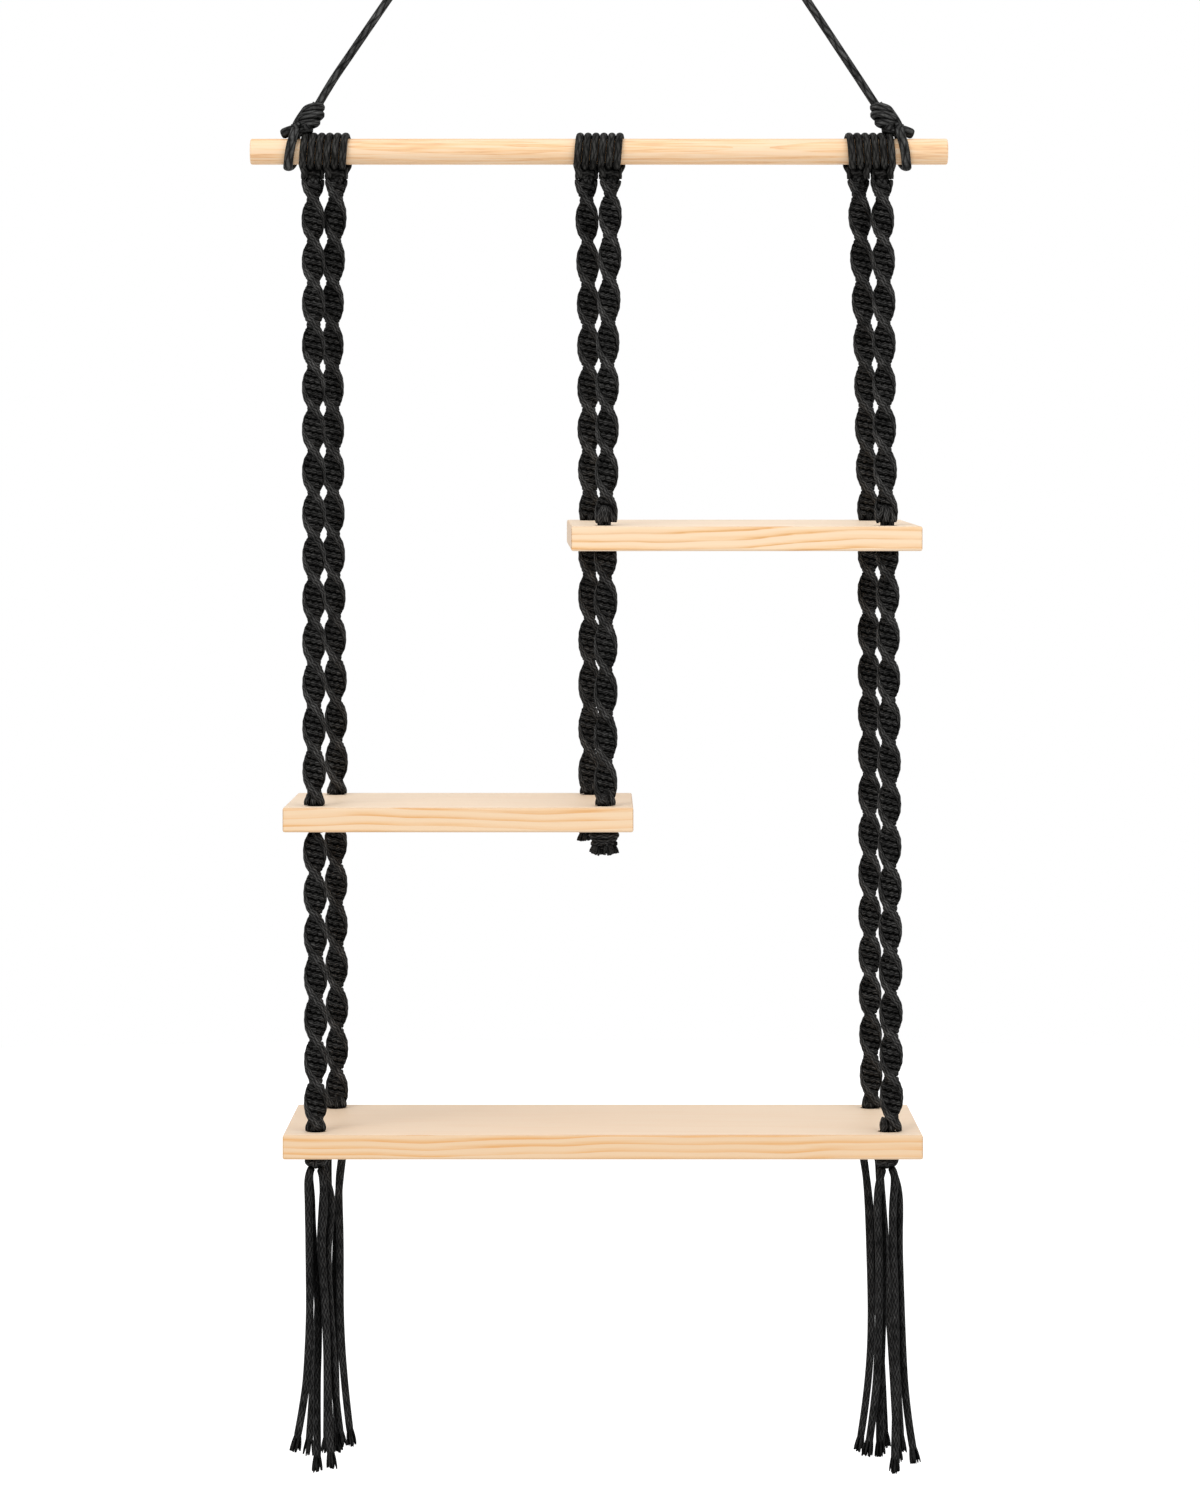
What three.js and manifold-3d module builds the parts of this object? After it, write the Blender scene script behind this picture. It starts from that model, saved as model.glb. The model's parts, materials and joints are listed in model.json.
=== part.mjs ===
// Hanging rope shelf: three pine boards hung from a dowel on knotted cords, on one hook.
// Millimetres, +Z up, -Y to the front, +X to the right.
// The origin is the point where the top loop bears on its hook.

import * as THREE from "three";
import { mergeVertices } from "three/addons/utils/BufferGeometryUtils.js";
import Module from "manifold-3d";

const wasm = await Module();
wasm.setup();

// Clearances
const seatGap = 0.3; // between pieces that touch
const swayGap = 0.85; // between the windings' ends and the ropes that sway under them
const ropeAboveBoard = 2.3; // from a board's top to the wide part of the rope over it
const ropeBelowBoard = 1.4; // from a board's underside to the rope below it
const neckAboveKnot = 0.5; // how far a neck ends inside the lowest board
const cutOverrun = 6; // how far a cutter runs past what it cuts

// Dowel
const dowelLength = 430;
const dowelDia = 16;
const dowelRound = 1.2;

// Sling: one cord from dowel end to dowel end, with a loop tied at its middle
const slingDia = 5.4;
const slingRise = 293.5; // from the dowel's axis to where the legs meet
const slingMeetDrop = 21; // from the hook to where the legs meet
const loopInnerRadius = 7;
const loopKnotWidth = 20;
const loopKnotDepth = 14;
const loopKnotHeight = 19;

// Knots that tie the sling to the dowel
const hitchWidth = 6.2; // the cord is pressed flat where it goes round the dowel
const hitchThickness = 3.4;
const hitchInset = 24.5; // from the dowel's end to the loop round it
const hitchSlant = 2.2; // how far the loop moves along the dowel from front to back
const hitchLean = 2.5; // how far its ends lean towards the middle
const hitchRise = 14; // height of the loop's ends over the dowel's axis
const hitchStraightAngle = 25; // degrees over the axis where the ends leave the dowel
const rightKnotShift = 1.8; // how much nearer the middle the right end is tied
const slingKnotInset = 39.5;
const slingKnotRise = 22.6;
const slingKnotWidth = 13;
const slingKnotDepth = 13;
const slingKnotHeight = 16;
const crossingInset = 30.2;
const crossingRise = 14.9;
const crossingWidth = 15;
const crossingDepth = 17;
const crossingHeight = 6.3;
const tailLength = 12.4; // of the sling's cut end, from the middle of the crossing
const tailDrop = 3.6; // how far the cut end dips over that length

// Windings round the dowel, three turns for each rope
const strandDia = 4.4;
const windingWidth = 4.4;
const windingThickness = 3.2;
const windingPitch = 4.9;
const windingTurns = 3;
const leaveAngle = 60; // degrees before the dowel's underside where a winding's end leaves it
const leaveRadius = 4;

// Rope pairs along the dowel
const leftPairInset = 45.6;
const middlePairShift = -0.3;
const rightPairInset = 47.6;

// Twisted ropes
const ropeWidth = 14.2;
const ropeThickness = 6.6;
const ropeShoulderWidth = 7.2; // of the flat part of the rope's section
const ropeHalfTurn = 25.9;
const ropeStepsPerHalfTurn = 4;
const ropeTaper = 6; // length over which an end narrows
const ropeEndWidth = 9.2;
const ropeEndThickness = 8.6;
const neckDia = 10;
const neckLead = 9; // how far the neck reaches up into its rope
const firstCrossing = 11.4; // from a rope's top to its first narrow place

// Boards
const boardDepth = 140;
const boardThickness = 15;
const boardRound = 1.2;
const upperDrop = 229; // from the dowel's axis to a board's top
const middleDrop = 400;
const lowerDrop = 597;
const leftOverhang = 21; // from a rope pair to the board's end
const rightOverhang = 27.6;
const middleBoardOverhang = 21;
const upperLeftOverhang = 18.2;
const upperRightOverhang = 25.7;
const upperYaw = 1.5; // degrees that the upper board hangs turned
const upperTilt = 1.4; // degrees that its back edge hangs high
const holeDia = 11.6;
const holeInset = 16; // from a board's front or back edge

// Where the front and the back holes lie from the middle of their rope pair
const leftFrontShift = -1.9;
const leftRearShift = 3.8;
const middleFrontShift = 3.4;
const middleRearShift = -4.4;
const rightFrontShift = 7.1;
const rightRearShift = 2.8;

// Knots under the boards
const stopKnotRadius = 7.5;
const endKnotWidth = 18.5;
const endKnotDepth = 16;
const endKnotHeight = 10;
const stubCount = 4;
const stubLength = 9;
const stubSpread = 4.8;
const stubTurn = 25; // degrees from the dowel's direction to the first stub

// Counts of facets
const dowelSides = 24;
const cordSides = 8;
const slingSteps = 19;
const strandSteps = 14;
const windingSides = 6;
const stepsPerTurn = 20;
const bendSteps = 3;
const lumpAround = 10;
const lumpDown = 6;
const holeSides = 16;
const neckSides = 10;
const domeSteps = 4;
const cornerSteps = 2;

// Places worked out from the sizes
const dowelZ = -slingMeetDrop - slingRise;
const dowelEnd = dowelLength / 2;
const leftPairX = leftPairInset - dowelEnd;
const rightPairX = dowelEnd - rightPairInset;
const windingRadius = dowelDia / 2 + seatGap + windingThickness / 2;
const windingShift = windingPitch * windingTurns / 2;
const holeY = boardDepth / 2 - holeInset;
const alongDowel = new THREE.Vector3(1, 0, 0);

const boards = {
  upper: {
    top: dowelZ - upperDrop,
    from: middlePairShift - upperLeftOverhang,
    to: rightPairX + upperRightOverhang,
    yaw: upperYaw,
    tilt: upperTilt,
  },
  middle: {
    top: dowelZ - middleDrop,
    from: leftPairX - leftOverhang,
    to: middlePairShift + middleBoardOverhang,
    yaw: 0,
    tilt: 0,
  },
  lower: {
    top: dowelZ - lowerDrop,
    from: leftPairX - leftOverhang,
    to: rightPairX + rightOverhang,
    yaw: 0,
    tilt: 0,
  },
};

// Each rope: where it leaves the dowel, its holes, and the two boards that it passes
const ropes = [
  rope("left_front", leftPairX, -1, leftFrontShift, -1, boards.middle, boards.lower),
  rope("left_rear", leftPairX, 1, leftRearShift, 1, boards.middle, boards.lower),
  rope("middle_front", middlePairShift, 1, middleFrontShift, -1, boards.upper, boards.middle),
  rope("middle_rear", middlePairShift, -1, middleRearShift, 1, boards.upper, boards.middle),
  rope("right_front", rightPairX, 1, rightFrontShift, -1, boards.upper, boards.lower),
  rope("right_rear", rightPairX, -1, rightRearShift, 1, boards.upper, boards.lower),
];

function rope(name, pairX, across, holeShift, depthwise, first, second) {
  return {
    name,
    dowelX: pairX + across * windingShift,
    holeX: pairX + holeShift,
    holeY: depthwise * holeY,
    first,
    second,
  };
}

// Finishes
const cordFinish = new THREE.MeshStandardMaterial({ color: 0x2b2a29, roughness: 0.75, metalness: 0 });
const pineFinish = new THREE.MeshStandardMaterial({ color: 0xf0d2a4, roughness: 0.6, metalness: 0 });

const shelf = new THREE.Group();

function addMesh(name, geometry, finish) {
  const mesh = new THREE.Mesh(geometry, finish);
  mesh.name = name;
  shelf.add(mesh);
  return mesh;
}

// Booleans
function solidOf(geometry) {
  const bare = geometry.clone();
  bare.deleteAttribute("normal");
  bare.deleteAttribute("uv");
  const merged = mergeVertices(bare);
  return new wasm.Manifold(new wasm.Mesh({
    numProp: 3,
    vertProperties: Float32Array.from(merged.attributes.position.array),
    triVerts: Uint32Array.from(merged.index.array),
  }));
}

function geometryOf(solid) {
  const mesh = solid.getMesh();
  const geometry = new THREE.BufferGeometry();
  geometry.setAttribute("position", new THREE.BufferAttribute(mesh.vertProperties, 3));
  geometry.setIndex(new THREE.BufferAttribute(mesh.triVerts, 1));
  geometry.computeVertexNormals();
  return geometry;
}

function joined(geometries) {
  return geometries.map(solidOf).reduce((sum, solid) => sum.add(solid));
}

// A closed solid through rings of corners, each ring anticlockwise seen from the last one
function loft(rings) {
  const sides = rings[0].length;
  const last = (rings.length - 1) * sides;
  const faces = [];
  for (let start = 0; start < last; start += sides) {
    for (let side = 0; side < sides; side += 1) {
      const here = start + side;
      const next = start + (side + 1) % sides;
      faces.push(here, next, next + sides, here, next + sides, here + sides);
    }
  }
  for (let side = 1; side < sides - 1; side += 1) {
    faces.push(0, side + 1, side, last, last + side, last + side + 1);
  }
  const geometry = new THREE.BufferGeometry();
  geometry.setFromPoints(rings.flat());
  geometry.setIndex(faces);
  geometry.computeVertexNormals();
  return geometry;
}

// A tube with an oval section along a list of points, wide along the dowel
function tubeAlong(points, width, thickness) {
  const rings = points.map((point, i) => {
    const before = points[Math.max(i - 1, 0)];
    const after = points[Math.min(i + 1, points.length - 1)];
    const ahead = after.clone().sub(before).normalize();
    const outward = alongDowel.clone().cross(ahead).normalize();
    const sideways = ahead.clone().cross(outward);
    return Array.from({ length: windingSides }, (_, side) => {
      const turn = (side / windingSides) * 2 * Math.PI;
      return point.clone()
        .addScaledVector(outward, Math.cos(turn) * thickness / 2)
        .addScaledVector(sideways, Math.sin(turn) * width / 2);
    });
  });
  return loft(rings);
}

// The least distance between two places on a path that aren't neighbours, less the tube's width
function leastGap(points, width) {
  let run = 0;
  const runs = points.map((point, i) => {
    run += i ? point.distanceTo(points[i - 1]) : 0;
    return run;
  });
  let least = Infinity;
  points.forEach((point, i) => {
    points.forEach((other, j) => {
      if (runs[j] - runs[i] > 2 * width) {
        least = Math.min(least, point.distanceTo(other) - width);
      }
    });
  });
  return least;
}

// A round cord along a smooth curve
function cordAlong(route, diameter, steps) {
  const section = new THREE.Shape();
  for (let side = 0; side < cordSides; side += 1) {
    const turn = (side / cordSides) * 2 * Math.PI;
    const x = Math.cos(turn) * diameter / 2;
    const y = Math.sin(turn) * diameter / 2;
    if (side) {
      section.lineTo(x, y);
    } else {
      section.moveTo(x, y);
    }
  }
  const curve = new THREE.CatmullRomCurve3(route, false, "centripetal");
  return new THREE.ExtrudeGeometry(section, { steps, bevelEnabled: false, extrudePath: curve });
}

function lump(width, depth, height, x, y, z, lean) {
  const geometry = new THREE.SphereGeometry(1, lumpAround, lumpDown);
  geometry.rotateX(Math.PI / 2);
  geometry.scale(width / 2, depth / 2, height / 2);
  geometry.rotateY(lean);
  return geometry.translate(x, y, z);
}

// Dowel with slightly rounded ends
function dowel() {
  const radius = dowelDia / 2;
  const profile = [
    new THREE.Vector2(0, -dowelEnd),
    new THREE.Vector2(radius - dowelRound, -dowelEnd),
    new THREE.Vector2(radius, -dowelEnd + dowelRound),
    new THREE.Vector2(radius, dowelEnd - dowelRound),
    new THREE.Vector2(radius - dowelRound, dowelEnd),
    new THREE.Vector2(0, dowelEnd),
  ];
  const geometry = new THREE.LatheGeometry(profile, dowelSides);
  geometry.rotateZ(-Math.PI / 2);
  const mesh = addMesh("dowel", geometry, pineFinish);
  mesh.position.z = dowelZ;
}

// The sling's legs, taut from the knots at the dowel up to the loop's knot, where they bend a little
const leftLegRoute = [
  [-174.4, 0, -287.5], [-163.9, 0, -270.0], [-151.7, 0, -252.0], [-139.4, 0, -234.0],
  [-127.1, 0, -216.0], [-114.9, 0, -198.0], [-102.6, 0, -180.0], [-90.3, 0, -162.0],
  [-78.1, 0, -144.0], [-65.8, 0, -126.0], [-53.6, 0, -108.0], [-41.4, 0, -90.0],
  [-29.3, 0, -72.0], [-16.5, 0, -52.0], [-5.5, 0, -29.5],
];
const rightLegRoute = [
  [172.0, 0, -287.5], [160.6, 0, -270.0], [148.7, 0, -252.0], [136.8, 0, -234.0],
  [124.9, 0, -216.0], [112.9, 0, -198.0], [101.0, 0, -180.0], [89.1, 0, -162.0],
  [77.2, 0, -144.0], [65.3, 0, -126.0], [53.4, 0, -108.0], [41.5, 0, -90.0],
  [29.8, 0, -72.0], [16.9, 0, -52.0], [5.5, 0, -29.5],
];

function pointsOf(route) {
  return route.map(([x, y, z]) => new THREE.Vector3(x, y, z));
}

function leg(route, diameter) {
  return cordAlong(pointsOf(route), diameter, slingSteps);
}

// What a leg's end needs cut out of a knot: the same cord with the seat's gap round it
function legRoom(route) {
  const points = pointsOf(route);
  const first = points[0].clone().sub(points[1]).normalize();
  const last = points.at(-1).clone().sub(points.at(-2)).normalize();
  points[0].addScaledVector(first, seatGap);
  points.at(-1).addScaledVector(last, seatGap);
  return solidOf(cordAlong(points, slingDia + 2 * seatGap, slingSteps));
}

function sling() {
  addMesh("sling_left_leg", leg(leftLegRoute, slingDia), cordFinish);
  addMesh("sling_right_leg", leg(rightLegRoute, slingDia), cordFinish);
  const eye = new THREE.TorusGeometry(loopInnerRadius + slingDia / 2, slingDia / 2, cordSides, stepsPerTurn);
  eye.rotateX(Math.PI / 2);
  eye.translate(0, 0, -loopInnerRadius);
  const knot = lump(loopKnotWidth, loopKnotDepth, loopKnotHeight, 0, 0, -slingMeetDrop, 0);
  const loop = joined([eye, knot]).subtract(legRoom(leftLegRoute)).subtract(legRoom(rightLegRoute));
  addMesh("sling_top_loop", geometryOf(loop), cordFinish);
}

// Where a piece of the sling lies along the dowel
function nearEnd(side, inset) {
  return side * (dowelEnd - inset) - (side > 0 ? rightKnotShift : 0);
}

// The loop round the dowel at one end: up the front and up the back into the knot
function hitchPath(side, grow) {
  const radius = dowelDia / 2 + seatGap + hitchThickness / 2;
  const x = nearEnd(side, hitchInset);
  const points = [];
  const start = THREE.MathUtils.degToRad(hitchStraightAngle);
  const steps = Math.round(stepsPerTurn * (Math.PI + 2 * start) / (2 * Math.PI));
  for (let i = 0; i <= steps; i += 1) {
    const share = i / steps;
    const angle = start - share * (Math.PI + 2 * start);
    points.push(new THREE.Vector3(
      x + side * hitchSlant * (share - 1 / 2),
      -radius * Math.cos(angle),
      dowelZ + radius * Math.sin(angle),
    ));
  }
  const rise = (hitchRise - radius * Math.sin(start)) / Math.cos(start) + grow;
  const end = (point, outward) => new THREE.Vector3(
    point.x - side * hitchLean,
    point.y + outward * rise * Math.sin(start),
    point.z + rise * Math.cos(start),
  );
  return [end(points[0], 1), ...points, end(points.at(-1), -1)];
}

function slingKnot(side, name, route) {
  const path = hitchPath(side, 0);
  console.log(`${name}_hitch least gap to itself ${leastGap(path, hitchWidth).toFixed(2)} mm`);
  addMesh(`${name}_hitch`, tubeAlong(path, hitchWidth, hitchThickness), cordFinish);
  const lean = side * -Math.atan2(dowelEnd - slingKnotInset, slingRise);
  const knotX = nearEnd(side, slingKnotInset);
  const crossingX = nearEnd(side, crossingInset);
  const main = lump(
    slingKnotWidth, slingKnotDepth, slingKnotHeight, knotX, 0, dowelZ + slingKnotRise, lean,
  );
  const crossing = lump(
    crossingWidth, crossingDepth, crossingHeight, crossingX, 0, dowelZ + crossingRise, 0,
  );
  const tail = new THREE.CylinderGeometry(slingDia / 2, slingDia / 2, tailLength, cordSides);
  tail.rotateZ(Math.PI / 2);
  tail.rotateY(side * Math.asin(tailDrop / tailLength));
  tail.translate(crossingX + side * tailLength / 2, 0, dowelZ + crossingRise - tailDrop / 2);
  const room = solidOf(tubeAlong(
    hitchPath(side, seatGap), hitchWidth + 2 * seatGap, hitchThickness + 2 * seatGap,
  ));
  const knot = joined([main, crossing, tail]).subtract(room).subtract(legRoom(route));
  addMesh(`${name}_knot`, geometryOf(knot), cordFinish);
}

// Three turns round the dowel for one rope, with both ends led down to the rope's top
function windingPath(x) {
  const leave = THREE.MathUtils.degToRad(leaveAngle);
  const turnsAngle = 2 * Math.PI * (windingTurns - 1) + Math.PI + 2 * leave;
  const steps = Math.round(stepsPerTurn * turnsAngle / (2 * Math.PI));
  const halfSpan = windingPitch * turnsAngle / (4 * Math.PI);
  const helix = [];
  for (let i = 0; i <= steps; i += 1) {
    const angle = -leave + (i / steps) * turnsAngle;
    helix.push(new THREE.Vector3(
      x - halfSpan + (i / steps) * 2 * halfSpan,
      -windingRadius * Math.cos(angle),
      dowelZ + windingRadius * Math.sin(angle),
    ));
  }
  return [...windingEnd(helix[0], -1).reverse(), ...helix, ...windingEnd(helix.at(-1), 1)];
}

// From where the winding leaves the dowel round to straight down, then straight for one width
function windingEnd(from, depthwise) {
  const leave = THREE.MathUtils.degToRad(leaveAngle);
  const points = [];
  for (let i = 1; i <= bendSteps; i += 1) {
    const turned = leave * (1 - i / bendSteps);
    points.push(new THREE.Vector3(
      from.x,
      from.y - depthwise * leaveRadius * (Math.cos(turned) - Math.cos(leave)),
      from.z - leaveRadius * (Math.sin(leave) - Math.sin(turned)),
    ));
  }
  const foot = points.at(-1).clone();
  foot.z -= windingWidth;
  return [...points, foot];
}

function winding(name, x) {
  const path = windingPath(x);
  console.log(`${name} least gap to itself ${leastGap(path, windingWidth).toFixed(2)} mm`);
  addMesh(name, tubeAlong(path, windingWidth, windingThickness), cordFinish);
  return path[0].z;
}

// One ring of the twisted rope's section
function ropeRing(centre, angle, width, thickness) {
  const shoulder = width * ropeShoulderWidth / ropeWidth;
  const outline = [
    [width / 2, 0],
    [shoulder / 2, thickness / 2],
    [-shoulder / 2, thickness / 2],
    [-width / 2, 0],
    [-shoulder / 2, -thickness / 2],
    [shoulder / 2, -thickness / 2],
  ];
  return outline.map(([x, y]) => new THREE.Vector3(
    centre.x + x * Math.cos(angle) - y * Math.sin(angle),
    centre.y + x * Math.sin(angle) + y * Math.cos(angle),
    centre.z,
  ));
}

// A twisted rope from one place down to another, narrower where it meets a board
function twistedRope(top, bottom, isUpper) {
  const drop = top.z - bottom.z;
  const even = Math.round((drop - 2 * ropeTaper) / (ropeHalfTurn / ropeStepsPerHalfTurn));
  const depths = [0];
  for (let i = 0; i <= even; i += 1) {
    depths.push(ropeTaper + (i / even) * (drop - 2 * ropeTaper));
  }
  depths.push(drop);
  const rings = depths.map((depth, i) => {
    const isNarrow = i === depths.length - 1 || (i === 0 && !isUpper);
    const centre = top.clone().lerp(bottom, depth / drop);
    const angle = Math.PI / 2 + Math.PI * (depth - firstCrossing) / ropeHalfTurn;
    const width = isNarrow ? ropeEndWidth : ropeWidth;
    const thickness = isNarrow ? ropeEndThickness : ropeThickness;
    return ropeRing(centre, angle, width, thickness);
  });
  return loft(rings.reverse());
}

// The gathered cords that carry a rope on through a board's hole
function neck(x, y, top, bottom) {
  const profile = [
    new THREE.Vector2(0, bottom),
    new THREE.Vector2(neckDia / 2, bottom),
    new THREE.Vector2(neckDia / 2, top),
    new THREE.Vector2(0, top + neckLead),
  ];
  const geometry = new THREE.LatheGeometry(profile, neckSides);
  geometry.rotateX(Math.PI / 2);
  return geometry.translate(x, y, 0);
}

function ropeSection(name, top, bottom, foot, isUpper) {
  const body = joined([
    twistedRope(top, bottom, isUpper),
    neck(bottom.x, bottom.y, bottom.z, foot),
  ]);
  addMesh(name, geometryOf(body), cordFinish);
}

// The place of a rope's hole at a given height over a board's top
function overHole({ holeX, holeY: ropeHoleY }, place, height) {
  return new THREE.Vector3(holeX, ropeHoleY, place.top + height);
}

function ropeWithWinding(each) {
  const windingFoot = winding(`${each.name}_winding`, each.dowelX);
  const lowerTop = overHole(each, each.first, -boardThickness - ropeBelowBoard);
  ropeSection(
    `${each.name}_rope_upper`,
    new THREE.Vector3(each.dowelX, 0, windingFoot - swayGap),
    overHole(each, each.first, ropeAboveBoard),
    lowerTop.z + seatGap,
    true,
  );
  ropeSection(
    `${each.name}_rope_lower`,
    lowerTop,
    overHole(each, each.second, ropeAboveBoard),
    each.second.top - boardThickness + neckAboveKnot,
    false,
  );
}

// A board with rounded arrises and a hole for each rope that passes it
function board(name, place) {
  const length = place.to - place.from;
  const outline = new THREE.Shape();
  const halfLength = length / 2 - boardRound;
  const halfDepth = boardDepth / 2 - boardRound;
  outline.moveTo(-halfLength, -halfDepth);
  outline.lineTo(halfLength, -halfDepth);
  outline.lineTo(halfLength, halfDepth);
  outline.lineTo(-halfLength, halfDepth);
  const blank = new THREE.ExtrudeGeometry(outline, {
    depth: boardThickness - 2 * boardRound,
    bevelThickness: boardRound,
    bevelSize: boardRound,
    bevelSegments: cornerSteps,
  });
  blank.translate(0, 0, boardRound - boardThickness / 2);
  blank.rotateX(THREE.MathUtils.degToRad(place.tilt));
  blank.rotateZ(THREE.MathUtils.degToRad(place.yaw));
  blank.translate((place.from + place.to) / 2, 0, place.top - boardThickness / 2);
  let solid = solidOf(blank);
  for (const { holeX, holeY: ropeHoleY, first, second } of ropes) {
    if (first === place || second === place) {
      const drill = new THREE.CylinderGeometry(
        holeDia / 2, holeDia / 2, boardThickness + 2 * cutOverrun, holeSides,
      );
      drill.rotateX(Math.PI / 2);
      drill.translate(holeX, ropeHoleY, place.top - boardThickness / 2);
      solid = solid.subtract(solidOf(drill));
    }
  }
  addMesh(name, geometryOf(solid), pineFinish);
}

// The half-round knot under the lowest board, centred where its strands swing
function stopKnot(name, { holeX, holeY: knotY }, underside) {
  const profile = [new THREE.Vector2(0, -stopKnotRadius)];
  const rim = Math.asin(seatGap / stopKnotRadius);
  for (let i = 1; i <= domeSteps; i += 1) {
    const angle = Math.PI / 2 - (i / domeSteps) * (Math.PI / 2 - rim);
    profile.push(new THREE.Vector2(
      stopKnotRadius * Math.cos(angle), -stopKnotRadius * Math.sin(angle),
    ));
  }
  profile.push(new THREE.Vector2(0, -seatGap));
  const geometry = new THREE.LatheGeometry(profile, neckSides);
  geometry.rotateX(Math.PI / 2);
  const mesh = addMesh(name, geometry, cordFinish);
  mesh.position.set(holeX, knotY, underside);
}

// The knot that ends a middle rope, with its four cut cord ends
function endKnot(name, { holeX, holeY: knotY }, underside) {
  const middle = underside - seatGap - endKnotHeight / 2;
  const pieces = [lump(endKnotWidth, endKnotDepth, endKnotHeight, holeX, knotY, middle, 0)];
  for (let i = 0; i < stubCount; i += 1) {
    const turn = THREE.MathUtils.degToRad(stubTurn) + (i / stubCount) * 2 * Math.PI;
    const stub = new THREE.CylinderGeometry(strandDia / 2, strandDia / 2, stubLength, cordSides);
    stub.rotateX(Math.PI / 2);
    stub.translate(
      holeX + stubSpread * Math.cos(turn),
      knotY + stubSpread * Math.sin(turn),
      middle - stubLength / 2,
    );
    pieces.push(stub);
  }
  addMesh(name, geometryOf(joined(pieces)), cordFinish);
}

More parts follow.
